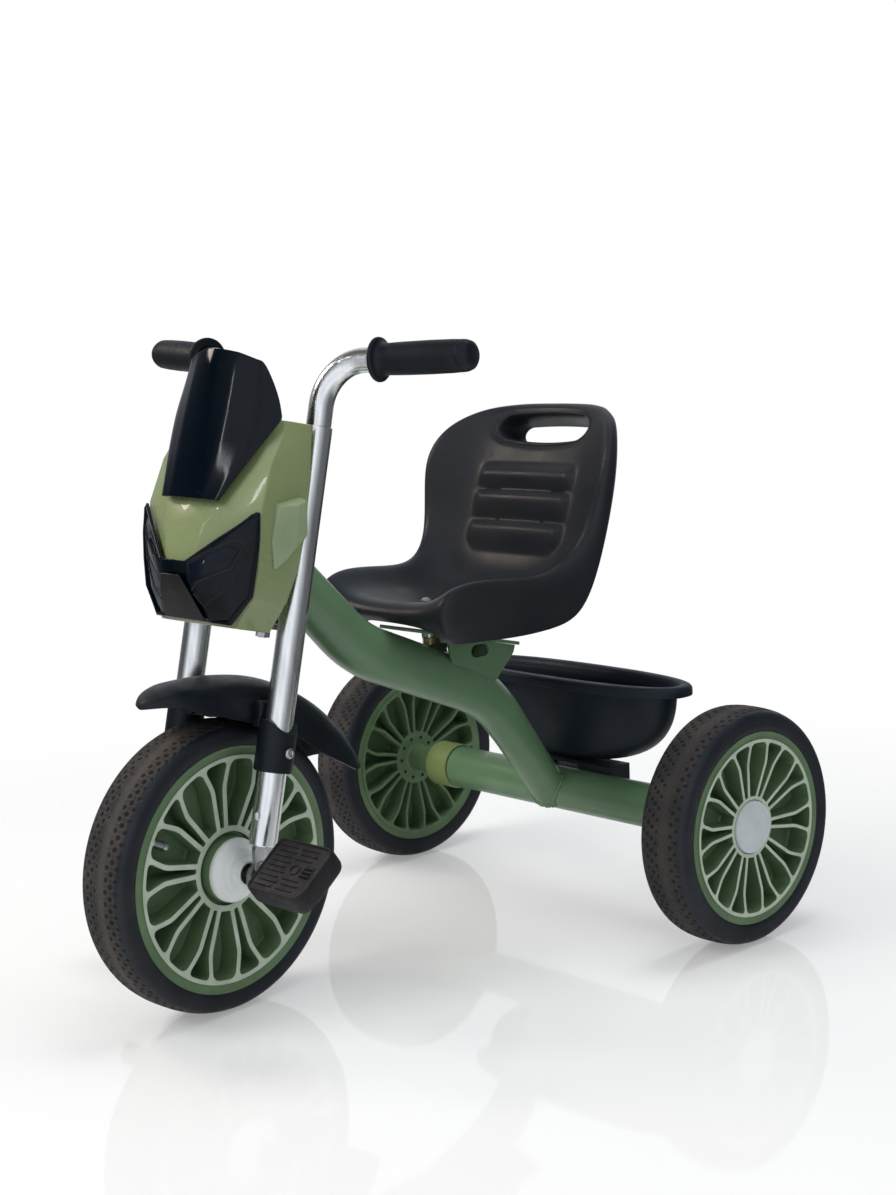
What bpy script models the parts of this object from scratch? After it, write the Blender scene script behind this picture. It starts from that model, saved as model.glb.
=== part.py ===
"""A small child's tricycle, modelled in metres with +Z up, the front towards -Y and +X to the rider's left.

The rest pose has the front wheel turned a little to the left. Everything that turns with the handlebars
is placed in the frame of the empty "steering", whose Z axis is the steering axis and whose X axis is the
front axle. Each wheel and pedal hangs on an empty of its own, which stands on its axle.
"""

import math

import bmesh
import bpy
from mathutils import Euler, Matrix, Vector

# Driving dimensions of the whole tricycle
WHEELBASE = 0.386
FRONT_TYRE_R = 0.115
FRONT_TYRE_W = 0.0495
REAR_TYRE_R = 0.100
REAR_TYRE_W = 0.0465
WIDTH = 0.467
RAKE = math.radians(13.6)
STEER_AT_REST = math.radians(6.0)
FORK_OFFSET = 0.019
GAP = 0.0003

# Places that follow from them
REAR_AXLE_Y = (WHEELBASE + FRONT_TYRE_R - REAR_TYRE_R) / 2
FRONT_AXLE_Y = REAR_AXLE_Y - WHEELBASE
REAR_WHEEL_X = (WIDTH - REAR_TYRE_W) / 2

# Wheels
WHEEL_STEPS = 32
FRONT_RIM_R = 0.0975
REAR_RIM_R = 0.0811
WEB_HALF = 0.002
SPOKE_PHASE = math.radians(-5.1)
FRONT_FACE = ((0.031, 0.0175), (0.0903, 0.0232))
REAR_FACE = ((0.0245, 0.0160), (0.0745, 0.0222))
FRONT_POCKETS = (0.0345, 0.0868)
REAR_POCKETS = (0.0262, 0.0718)
SPOKES = 20
SPOKE_WIDTH = 0.0045
VALVE_POCKET = 14
VALVE_R = 0.0028
AXLE_R = 0.005
BORE_R = AXLE_R + GAP
CUP_R = 0.0265
HUB_CAP_R = 0.0225
HUB_CAP_FACE = 0.0172

# Fork, handlebar and grips, in the steering frame
LEG_X = 0.0535
LEG_Y = -FORK_OFFSET - 0.0025
LEG_R = 0.011
LEG_WALL = 0.001
LEG_BOTTOM = 0.024
LEG_TOP = 0.3475
BAR_R = 0.0097
BAR_BOTTOM = 0.322
BAR_BEND_R = 0.037
GRIP_START = Vector((0.0962, 0.0080 - FORK_OFFSET, 0.4015))
GRIP_END = Vector((0.1834, 0.0265 - FORK_OFFSET, 0.4092))
GRIP_LENGTH = 0.0845
GRIP_R = 0.0125
GRIP_FLANGE_R = 0.0172
DROPOUT_THICK = 0.004
LOWER_CROWN_Z = 0.1885
UPPER_CROWN_Z = 0.2791
CROWN_THICK = 0.004
STEM_R = 0.006

# Cranks and pedals
CRANK_R = 0.045
CRANK_ANGLE = math.radians(20.7)
PEDAL_X = 0.1315
PEDAL_SIZE = (0.057, 0.049, 0.018)
PEDAL_TILT = math.radians(50.1)
CRANK_ARM_X = (0.075, 0.094)
PIN = Vector((0.0, -CRANK_R * math.cos(CRANK_ANGLE), CRANK_R * math.sin(CRANK_ANGLE)))

# Mudguard and its sleeves round the fork legs
GUARD_WALL = 0.0025
SLEEVE_R = 0.015
SLEEVE_Z = (0.081, 0.121)

# Frame
AXLE_TUBE_R = 0.0195
AXLE_TUBE_WALL = 0.002
AXLE_TUBE_HALF = 0.129
BUSH_R = 0.0215
BUSH_END = 0.158
HEAD_R = 0.0165
HEAD_WALL = 0.003
MAIN_WALL = 0.0018
TUBE_CORNERS = ((-0.3104, 0.3474), (-0.2304, 0.2631), (-0.0848, 0.2020), (-0.0050, 0.0940))
TUBE_BEND_R = 0.12
TUBE_SIZES = (
    (0.0, 0.041, 0.038),
    (0.35, 0.0455, 0.040),
    (0.62, 0.0440, 0.040),
    (0.80, 0.0330, 0.042),
    (1.0, 0.0290, 0.044),
)
PLATE_THICK = 0.003
PLATE_WIDTH = 0.040
PLATE_SLOPE = math.radians(13.2)
SEAT_SCREWS_Y = (-0.1485, -0.0750)
SEAT_PAN_Z = (0.2923, 0.2968)
SEAT_WALL = 0.0035
SEAT_BOLT_R = 0.003
BASKET_HALF = (0.137, 0.0375)
BASKET_RIM_Z = 0.2029
BASKET_DEPTH = 0.0765


def clear_scene():
    for thing in list(bpy.data.objects):
        bpy.data.objects.remove(thing, do_unlink=True)


def new_collection(name):
    made = bpy.data.collections.new(name)
    bpy.context.scene.collection.children.link(made)
    return made


def material(name, colour, roughness, metallic=0.0):
    made = bpy.data.materials.new(name)
    made.use_nodes = True
    shader = made.node_tree.nodes["Principled BSDF"]
    shader.inputs["Base Color"].default_value = (*colour, 1.0)
    shader.inputs["Roughness"].default_value = roughness
    shader.inputs["Metallic"].default_value = metallic
    made.diffuse_color = (*colour, 1.0)
    return made


def empty(name, parent=None, place=(0.0, 0.0, 0.0), turn=(0.0, 0.0, 0.0)):
    made = bpy.data.objects.new(name, None)
    made.empty_display_size = 0.02
    made.parent = parent
    made.location = place
    made.rotation_euler = turn
    PARTS.objects.link(made)
    return made


def piece(name, data, finish, parent=None, place=(0.0, 0.0, 0.0), turn=(0.0, 0.0, 0.0)):
    """A named sub-part with its material. With no finish it is a cutter."""
    made = bpy.data.objects.new(name, data)
    made.parent = parent
    made.location = place
    made.rotation_euler = turn
    if finish is None:
        made.hide_render = True
        made.display_type = "WIRE"
        CUTTERS.objects.link(made)
    else:
        data.materials.append(finish)
        PARTS.objects.link(made)
    return made


def boolean(target, tool, operation="DIFFERENCE"):
    change = target.modifiers.new(operation.lower(), "BOOLEAN")
    change.operation = operation
    change.solver = "EXACT"
    change.object = tool


def mesh_from(name, bm):
    bmesh.ops.recalc_face_normals(bm, faces=bm.faces)
    made = bpy.data.meshes.new(name)
    bm.to_mesh(made)
    bm.free()
    made.shade_smooth()
    made.set_sharp_from_angle(angle=math.radians(35))
    return made


def box_mesh(name, size, centre=(0.0, 0.0, 0.0)):
    bm = bmesh.new()
    place = Matrix.Translation(centre) @ Matrix.Diagonal((*size, 1.0))
    bmesh.ops.create_cube(bm, size=1.0, matrix=place)
    return mesh_from(name, bm)


def rod_mesh(name, radius, start, end, steps=24):
    """A solid cylinder between two points."""
    start, end = Vector(start), Vector(end)
    turn = (end - start).to_track_quat("Z", "Y").to_matrix().to_4x4()
    bm = bmesh.new()
    bmesh.ops.create_cone(
        bm,
        cap_ends=True,
        segments=steps,
        radius1=radius,
        radius2=radius,
        depth=(end - start).length,
        matrix=Matrix.Translation((start + end) / 2) @ turn,
    )
    return mesh_from(name, bm)


def turned(name, profile, finish, parent=None, place=(0, 0, 0), turn=(0, 0, 0), steps=24, ring=False):
    """A shape turned round its own Z axis. The profile is (radius, height) pairs, down the outer side."""
    data = bpy.data.meshes.new(name)
    count = len(profile)
    edges = [(i, i + 1) for i in range(count - 1)]
    if ring:
        edges.append((count - 1, 0))
    data.from_pydata([(radius, 0.0, height) for radius, height in profile], edges, [])
    made = piece(name, data, finish, parent, place, turn)
    screw = made.modifiers.new("turn", "SCREW")
    screw.axis = "Z"
    screw.angle = 2 * math.pi
    screw.steps = steps
    screw.render_steps = steps
    screw.use_merge_vertices = True
    screw.merge_threshold = 0.00001
    screw.use_smooth_shade = True
    return made


def sleeve_profile(outer, inner, low, high):
    return [(outer, high), (outer, low), (inner, low), (inner, high)]


def headed_profile(head, rise, shank, length):
    """A domed head on top of z = 0 with a solid shank below it."""
    dome = [(0.0, rise), (0.65 * head, 0.85 * rise), (head, 0.0)]
    return dome + [(shank, 0.0), (shank, -length), (0.0, -length)]


def hex_nut(name, radius, bore, heights, finish, parent=None, place=(0, 0, 0), turn=(0, 0, 0)):
    """A hexagonal nut with a round bore, between two heights on its own Z axis."""
    low, high = heights
    made = piece(name, rod_mesh(name, radius, (0, 0, low), (0, 0, high), 6), finish, parent, place, turn)
    tool = rod_mesh(name + "_bore", bore, (0, 0, low - 0.01), (0, 0, high + 0.01), 16)
    boolean(made, piece(name + "_bore", tool, None, parent, place, turn))


def rounded_path(corners, radius, steps=6):
    """The corners joined by straight runs, with an arc of the given radius at each inner corner."""
    corners = [Vector(corner) for corner in corners]
    path = [corners[0]]
    for before, corner, after in zip(corners, corners[1:], corners[2:]):
        back = (before - corner).normalized()
        ahead = (after - corner).normalized()
        half = back.angle(ahead) / 2
        reach = radius / math.tan(half)
        centre = corner + (back + ahead).normalized() * radius / math.sin(half)
        first = corner + back * reach - centre
        last = corner + ahead * reach - centre
        path += [centre + first.slerp(last, i / steps) * radius for i in range(steps + 1)]
    return path + [corners[-1]]


def tube(name, path, radius, finish, parent=None, resolution=6):
    data = bpy.data.curves.new(name, "CURVE")
    data.dimensions = "3D"
    data.bevel_depth = radius
    data.bevel_resolution = resolution
    data.use_fill_caps = True
    spline = data.splines.new("POLY")
    spline.points.add(len(path) - 1)
    for point, place in zip(spline.points, path):
        point.co = (*place, 1.0)
    return piece(name, data, finish, parent)


def arc(centre, radius, start, end, steps):
    """Points on an arc, angles in degrees."""
    angles = [math.radians(start + (end - start) * i / steps) for i in range(steps + 1)]
    return [(centre[0] + radius * math.cos(a), centre[1] + radius * math.sin(a)) for a in angles]


def stadium(half, radius, steps=8):
    """The outline of a slot: its round ends stand at half to each side."""
    return arc((-half, 0), radius, 90, 270, steps) + arc((half, 0), radius, -90, 90, steps)


def outline_mesh(name, outline, depth):
    """A flat outline in XY given a thickness of depth, centred on z = 0."""
    bm = bmesh.new()
    bottom = [bm.verts.new((x, y, -depth / 2)) for x, y in outline]
    face = bm.faces.new(bottom)
    lifted = bmesh.ops.extrude_face_region(bm, geom=[face])
    top = [item for item in lifted["geom"] if isinstance(item, bmesh.types.BMVert)]
    bmesh.ops.translate(bm, verts=top, vec=(0.0, 0.0, depth))
    return mesh_from(name, bm)


def flared_mesh(name, back, front, depth):
    """A prism whose outline changes from back to front, centred on z = 0."""
    bm = bmesh.new()
    lines = ((back, -depth / 2), (front, depth / 2))
    rows = [[bm.verts.new((x, y, z)) for x, y in line] for line, z in lines]
    count = len(back)
    for i in range(count):
        j = (i + 1) % count
        bm.faces.new((rows[0][i], rows[0][j], rows[1][j], rows[1][i]))
    bm.faces.new(rows[0])
    bm.faces.new(rows[1])
    return mesh_from(name, bm)


def loft_mesh(rows, closed_rows=False):
    """An open surface through rows of points. Closed rows make a tube with open ends."""
    bm = bmesh.new()
    grid = [[bm.verts.new(point) for point in row] for row in rows]
    width = len(grid[0])
    for low, high in zip(grid, grid[1:]):
        for i in range(width if closed_rows else width - 1):
            j = (i + 1) % width
            bm.faces.new((low[i], low[j], high[j], high[i]))
    return bm


def outward_mesh(name, bm, inside):
    """The open surface as a mesh whose faces all look away from the inside point."""
    bmesh.ops.recalc_face_normals(bm, faces=bm.faces)
    face = max(bm.faces, key=lambda f: f.calc_area())
    if face.normal.dot(face.calc_center_median() - Vector(inside)) < 0:
        bmesh.ops.reverse_faces(bm, faces=bm.faces)
    data = bpy.data.meshes.new(name)
    bm.to_mesh(data)
    bm.free()
    return data


def solidify(target, thickness, even=True):
    """A wall that grows inwards from the surface."""
    change = target.modifiers.new("wall", "SOLIDIFY")
    change.thickness = thickness
    change.offset = -1.0
    change.use_even_offset = even


def mirrored(row):
    """A row given from its outer end at +X to the centre, completed to -X."""
    return [Vector(point) for point in row] + [Vector((-x, y, z)) for x, y, z in reversed(row[:-1])]


def shell(name, rows, wall, finish, parent, inside):
    """A thin moulding through mirrored rows, its wall growing towards the inside point."""
    bm = loft_mesh([mirrored(row) for row in rows])
    made = piece(name, outward_mesh(name, bm, inside), finish, parent)
    solidify(made, wall)
    return made


# The wheels


def tyre(name, radius, width, rim, parent):
    half = width / 2
    profile = [
        (rim, half),
        (0.93 * radius, half),
        (0.982 * radius, 0.80 * half),
        (radius, 0.30 * half),
        (radius, -0.30 * half),
        (0.982 * radius, -0.80 * half),
        (0.93 * radius, -half),
        (rim, -half),
    ]
    return turned(name, profile, RUBBER, parent, turn=ACROSS, steps=WHEEL_STEPS, ring=True)


def rim_pockets(name, inner, outer, parent, turn):
    """Cutters for the pockets between the spokes, from the web outwards on both sides."""
    bm = bmesh.new()
    pitch = 2 * math.pi / SPOKES
    for i in range(SPOKES):
        middle = (i + 0.5) * pitch + SPOKE_PHASE
        for side in (1, -1):
            corners = []
            for radius in (inner, outer):
                half = pitch / 2 - SPOKE_WIDTH / 2 / radius
                for angle in (middle - half, middle + half):
                    corners.append((radius * math.cos(angle), radius * math.sin(angle)))
            ring = [corners[0], corners[2], corners[3], corners[1]]
            low = [bm.verts.new((x, y, side * WEB_HALF)) for x, y in ring]
            high = [bm.verts.new((x, y, side * 0.03)) for x, y in ring]
            bm.faces.new(low)
            bm.faces.new(high)
            for k in range(4):
                bm.faces.new((low[k], low[k - 1], high[k - 1], high[k]))
    return piece(name, mesh_from(name, bm), None, parent, turn=turn)


def front_rim(parent):
    """A moulded rim with the same deep spokes on both sides of a thin web."""
    radius = FRONT_RIM_R - GAP
    half = FRONT_TYRE_W / 2 - 0.001
    hub = 0.0195
    inner, ring = FRONT_FACE
    outer = [(BORE_R, hub), (inner[0], hub), inner, ring, (ring[0] + 0.0012, half), (radius, half)]
    profile = outer + [(r, -z) for r, z in reversed(outer)]
    made = turned("front_rim", profile, GREEN_RIM, parent, turn=ACROSS, steps=WHEEL_STEPS, ring=True)
    boolean(made, rim_pockets("front_rim_pockets", *FRONT_POCKETS, parent, ACROSS))


def rear_rim(word, parent, turn):
    """A moulded rim like the front one, with a seat for the hub cap and a hub that reaches the bush."""
    radius = REAR_RIM_R - GAP
    half = REAR_TYRE_W / 2 - 0.0005
    boss = 0.019
    inner, ring = REAR_FACE
    seat = HUB_CAP_R + GAP
    hub_end = REAR_WHEEL_X - BUSH_END - GAP
    profile = [
        (BORE_R, 0.003),
        (seat, 0.003),
        (seat, inner[1]),
        inner,
        ring,
        (ring[0] + 0.001, half),
        (radius, half),
        (radius, -half),
        (ring[0] + 0.001, -half),
        (ring[0], -ring[1]),
        (boss, -inner[1]),
        (boss, -hub_end),
        (BORE_R, -hub_end),
    ]
    made = turned(f"rear_{word}_rim", profile, GREEN_RIM, parent, turn=turn, steps=WHEEL_STEPS, ring=True)
    boolean(made, rim_pockets(f"rear_{word}_rim_pockets", *REAR_POCKETS, parent, turn))


def front_wheel(parent):
    tyre("front_tyre", FRONT_TYRE_R, FRONT_TYRE_W, FRONT_RIM_R, parent)
    front_rim(parent)
    for side, name in ((1, "left_hub_cup"), (-1, "right_hub_cup")):
        profile = [
            (BORE_R, 0.0400),
            (0.0095, 0.0400),
            (0.0100, 0.0355),
            (0.0180, 0.0335),
            (0.0235, 0.0300),
            (CUP_R, 0.0300),
            (CUP_R, 0.0198),
            (BORE_R, 0.0198),
        ]
        turned(name, profile, PALE_PLASTIC, parent, turn=ACROSS if side > 0 else ACROSS_BACK, ring=True)
    crank(parent)
    valve(parent)


def crank(parent):
    """One bent rod: the axle, both crank arms and both pedal pins."""
    tip = PEDAL_X + PEDAL_SIZE[0] / 2 - 0.004
    low, high = CRANK_ARM_X
    corners = [
        Vector((-tip, 0.0, 0.0)) - PIN,
        Vector((-high, 0.0, 0.0)) - PIN,
        (-low, 0.0, 0.0),
        (low, 0.0, 0.0),
        Vector((high, 0.0, 0.0)) + PIN,
        Vector((tip, 0.0, 0.0)) + PIN,
    ]
    tube("crank_axle", rounded_path(corners, 0.009, 3), AXLE_R, STEEL, parent, resolution=3)


def valve(parent):
    """The inflation valve, which stands out of the barrel in the middle of a pocket between two spokes."""
    angle = (VALVE_POCKET + 0.5) * 2 * math.pi / SPOKES + SPOKE_PHASE
    out = Vector((0.0, math.sin(angle), -math.cos(angle)))
    side = Vector((WEB_HALF + 0.0075, 0.0, 0.0))
    low, high = FRONT_POCKETS[1] - 0.017, FRONT_POCKETS[1] - 0.0022
    data = rod_mesh("front_valve", VALVE_R, side + out * low, side + out * high, 12)
    piece("front_valve", data, BRASS, parent)


def pedal(name, parent):
    data = box_mesh(name, PEDAL_SIZE)
    made = piece(name, data, BLACK_PLASTIC, parent, turn=(PEDAL_TILT, 0.0, 0.0))
    edge = made.modifiers.new("edge", "BEVEL")
    edge.width = 0.004
    edge.segments = 2
    bore = rod_mesh(name + "_bore", BORE_R, (-0.04, 0, 0), (0.04, 0, 0), 16)
    boolean(made, piece(name + "_bore", bore, None, parent))


def rear_wheel(side, word, parent):
    turn = ACROSS if side > 0 else ACROSS_BACK
    tyre(f"rear_{word}_tyre", REAR_TYRE_R, REAR_TYRE_W, REAR_RIM_R, parent)
    rear_rim(word, parent, turn)
    cap = [
        (0.0, HUB_CAP_FACE + 0.0015),
        (0.012, HUB_CAP_FACE + 0.001),
        (HUB_CAP_R, HUB_CAP_FACE - 0.001),
        (HUB_CAP_R, 0.0034),
        (HUB_CAP_R - 0.002, 0.0034),
        (HUB_CAP_R - 0.002, 0.0145),
        (0.0, 0.0145),
    ]
    turned(f"rear_{word}_hub_cap", cap, GREY_PLASTIC, parent, turn=turn)
    hex_nut(f"rear_{word}_axle_nut", 0.0085, BORE_R, (0.0034, 0.0095), STEEL, parent, turn=turn)


# The fork, handlebar and what they carry, in the steering frame


def fork_leg(side, word, parent):
    foot = (side * LEG_X, LEG_Y, 0.0)
    profile = sleeve_profile(LEG_R, LEG_R - LEG_WALL, LEG_BOTTOM, LEG_TOP)
    leg = turned(f"{word}_fork_leg", profile, STEEL, parent, place=foot, ring=True)
    hole = rod_mesh(f"{word}_rivet_hole", 0.0022, (0, -0.02, 0.047), (0, -0.006, 0.047), 12)
    boolean(leg, piece(f"{word}_rivet_hole", hole, None, parent, place=foot))
    rivet = headed_profile(0.004, 0.0022, 0.0019, 0.0010)
    head = (side * LEG_X, LEG_Y - LEG_R - GAP, 0.047)
    turned(f"{word}_leg_rivet", rivet, STEEL, parent, place=head, turn=(math.pi / 2, 0, 0), steps=12)
    dropout(side, word, parent)


def dropout(side, word, parent):
    """The flat steel end that is pressed into the leg and carries the front axle in a bush."""
    eye, neck, low, top = 0.0135, 0.0090, 0.020, 0.058
    lean = LEG_Y + FORK_OFFSET
    start = math.degrees(math.acos(neck / eye))
    outline = arc((0, 0), eye, 180 - start, 360 + start, 14)
    outline += [(neck + lean, low), (neck + lean, top), (-neck + lean, top), (-neck + lean, low)]
    data = outline_mesh(f"{word}_dropout", outline, DROPOUT_THICK)
    foot = (side * LEG_X, -FORK_OFFSET, 0.0)
    upright = (math.pi / 2, 0.0, math.pi / 2)
    made = piece(f"{word}_dropout", data, STEEL, parent, place=foot, turn=upright)
    hole = rod_mesh(f"{word}_eye_hole", 0.0083, (-0.02, 0, 0), (0.02, 0, 0), 20)
    boolean(made, piece(f"{word}_eye_hole", hole, None, parent, place=foot))
    half = DROPOUT_THICK / 2
    bush = [
        (0.011, half + 0.003),
        (0.011, half + GAP),
        (0.008, half + GAP),
        (0.008, -half - 0.003),
        (BORE_R, -half - 0.003),
        (BORE_R, half + 0.003),
    ]
    turn = ACROSS if side > 0 else ACROSS_BACK
    turned(f"{word}_axle_bush", bush, BLACK_PLASTIC, parent, place=foot, turn=turn, steps=16, ring=True)


def handlebar(side, word, parent):
    direction = (GRIP_END - GRIP_START).normalized()
    end = GRIP_START + direction * (GRIP_LENGTH - 0.006)
    across = GRIP_START + direction * (LEG_X - GRIP_START.x) / direction.x
    top = Vector((LEG_X, LEG_Y, across.z))
    corners = [Vector((LEG_X, LEG_Y, BAR_BOTTOM)), top, GRIP_START - direction * 0.004, end]
    bend = rounded_path(corners[:3], BAR_BEND_R, 6)
    path = bend + [end]
    tube(f"{word}_handlebar", [(side * p.x, p.y, p.z) for p in path], BAR_R, STEEL, parent, resolution=6)
    grip = [
        (0.0, GRIP_LENGTH),
        (0.0075, GRIP_LENGTH - 0.0006),
        (0.0110, GRIP_LENGTH - 0.003),
        (GRIP_R, GRIP_LENGTH - 0.008),
        (GRIP_R, 0.010),
        (GRIP_R - 0.0005, 0.005),
        (GRIP_FLANGE_R, 0.004),
        (GRIP_FLANGE_R, 0.0),
        (BAR_R + GAP, 0.0),
        (BAR_R + GAP, GRIP_LENGTH - 0.005),
        (0.0, GRIP_LENGTH - 0.005),
    ]
    start = Vector((side * GRIP_START.x, GRIP_START.y, GRIP_START.z))
    aim = Vector((side * direction.x, direction.y, direction.z)).to_track_quat("Z", "Y").to_euler()
    turned(f"{word}_grip", grip, RUBBER, parent, place=start, turn=aim, steps=20)


def crown(name, low, tongue, parent):
    """The flat plate between the legs that holds the stem, with a tongue forward to the fairing."""
    back, front, reach = 0.0145, LEG_Y - 0.008, LEG_X
    outline = arc((0, 0), back, 30, 150, 6)
    outline += [(-reach, LEG_Y + 0.008), (-reach, front), (-0.012, front), (-0.012, tongue)]
    outline += [(0.012, tongue), (0.012, front), (reach, front), (reach, LEG_Y + 0.008)]
    middle = low + CROWN_THICK / 2
    made = piece(name, outline_mesh(name, outline, CROWN_THICK), STEEL, parent, place=(0, 0, middle))
    bores = ((LEG_X, LEG_Y, LEG_R + GAP), (-LEG_X, LEG_Y, LEG_R + GAP), (0, 0, STEM_R + GAP))
    for i, (x, y, radius) in enumerate(bores):
        hole = rod_mesh(f"{name}_hole_{i}", radius, (x, y, low - 0.01), (x, y, low + 0.02))
        boolean(made, piece(f"{name}_hole_{i}", hole, None, parent))


def stem(parent):
    top = UPPER_CROWN_Z + CROWN_THICK + GAP
    bottom = LOWER_CROWN_Z - GAP
    profile = [
        (0.0, top + 0.006),
        (0.0085, top + 0.006),
        (0.010, top + 0.0045),
        (0.010, top),
        (STEM_R, top),
        (STEM_R, bottom - 0.002),
        (0.0035, bottom - 0.002),
        (0.0035, bottom - 0.0075),
        (0.0, bottom - 0.0075),
    ]
    turned("steering_stem", profile, STEEL, parent)
    hex_nut("stem_nut", 0.0060, 0.0038, (bottom - 0.0070, bottom - 0.0025), STEEL, parent)


# The fairing and mudguard, in the steering frame. Each row runs from the outer edge at +X to the centre.


def fairing_rows(table):
    return [[(x, y - FORK_OFFSET, z) for x, y in row] for z, row in table]


def fairing(parent):
    inside = (0.0, -FORK_OFFSET - 0.02, 0.26)
    shell_table = [
        (0.1852, ((0.055, -0.026), (0.043, -0.0495), (0.022, -0.0530), (0.0, -0.0540))),
        (0.2100, ((0.063, -0.020), (0.059, -0.050), (0.020, -0.069), (0.0, -0.0715))),
        (0.2320, ((0.066, -0.016), (0.063, -0.0525), (0.0145, -0.078), (0.0, -0.0795))),
        (0.2600, ((0.068, -0.015), (0.065, -0.0570), (0.022, -0.077), (0.0, -0.0775))),
        (0.2755, ((0.068, -0.0155), (0.0645, -0.0595), (0.0305, -0.070), (0.0, -0.0740))),
        (0.3100, ((0.067, -0.017), (0.062, -0.0540), (0.038, -0.058), (0.0, -0.0695))),
        (0.3460, ((0.066, -0.021), (0.0585, -0.0385), (0.040, -0.0490), (0.0, -0.0660))),
    ]
    shell("fairing_shell", fairing_rows(shell_table), 0.003, GREEN_GLOSS, parent, inside)
    screen_table = [
        (0.2790, ((0.0315, -0.0745), (0.0290, -0.0755), (0.018, -0.0785), (0.0, -0.0800))),
        (0.3100, ((0.0450, -0.0625), (0.0420, -0.0655), (0.0205, -0.0740), (0.0, -0.0770))),
        (0.3460, ((0.0600, -0.0470), (0.0470, -0.0590), (0.022, -0.0700), (0.0, -0.0750))),
        (0.3620, ((0.0540, -0.0470), (0.0440, -0.0575), (0.0225, -0.0680), (0.0, -0.0742))),
        (0.3830, ((0.0435, -0.0530), (0.0395, -0.0570), (0.0225, -0.0655), (0.0, -0.0735))),
    ]
    rows = fairing_rows(screen_table)
    top = (
        (0.0400, -0.0560, 0.3875),
        (0.0370, -0.0585, 0.3885),
        (0.0225, -0.0640, 0.3925),
        (0.0, -0.0710, 0.3955),
    )
    rows.append([(x, y - FORK_OFFSET, z) for x, y, z in top])
    shell("windscreen", rows, 0.0025, BLACK_GLOSS, parent, inside)
    headlight_panel(parent, inside)
    nose = [
        ((0.0235, -0.0634 - FORK_OFFSET, 0.1880), (0.0, -0.0644 - FORK_OFFSET, 0.1880)),
        ((0.0165, -0.0776 - FORK_OFFSET, 0.2080), (0.0, -0.0789 - FORK_OFFSET, 0.2080)),
        ((0.0105, -0.0850 - FORK_OFFSET, 0.2200), (0.0, -0.0860 - FORK_OFFSET, 0.2200)),
    ]
    shell("nose_panel", nose, 0.0012, BROWN_BLACK, parent, inside)


def headlight_panel(parent, inside):
    """The black mask under the V of the green shell: a chin across the middle and a wing to each side."""
    chin = [
        ((0.0430, -0.0555), (0.0340, -0.0580), (0.0255, -0.0600), (0.0160, -0.0608), (0.0, -0.0610)),
        ((0.0610, -0.0545), (0.0400, -0.0645), (0.0220, -0.0735), (0.0145, -0.0760), (0.0, -0.0770)),
        ((0.0645, -0.0575), (0.0430, -0.0685), (0.0230, -0.0785), (0.0138, -0.0832), (0.0, -0.0850)),
    ]
    wing = [
        chin[-1][:4],
        ((0.0665, -0.0600), (0.0560, -0.0650), (0.0460, -0.0700), (0.0390, -0.0735)),
        ((0.0655, -0.0625), (0.0645, -0.0630), (0.0635, -0.0635), (0.0625, -0.0640)),
    ]
    heights = (0.1875, 0.2100, 0.2311, 0.2525, 0.2735)
    grids = [fairing_rows(zip(heights[:3], chin)), fairing_rows(zip(heights[2:], wing))]
    bm = bmesh.new()
    for side in (1, -1):
        for rows in grids:
            grid = [[bm.verts.new((side * x, y, z)) for x, y, z in row] for row in rows]
            for low, high in zip(grid, grid[1:]):
                for i in range(len(low) - 1):
                    bm.faces.new((low[i], low[i + 1], high[i + 1], high[i]))
    bmesh.ops.remove_doubles(bm, verts=bm.verts, dist=0.00001)
    made = piece("headlight_panel", outward_mesh("headlight_panel", bm, inside), BLACK_GLOSS, parent)
    solidify(made, 0.0022)


def guard_row(degrees, outline):
    """A row of the mudguard, forward of the legs by an angle, from (x, distance from the axle) pairs."""
    angle = math.radians(degrees)
    return [(x, -FORK_OFFSET - r * math.sin(angle), r * math.cos(angle)) for x, r in outline]


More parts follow.
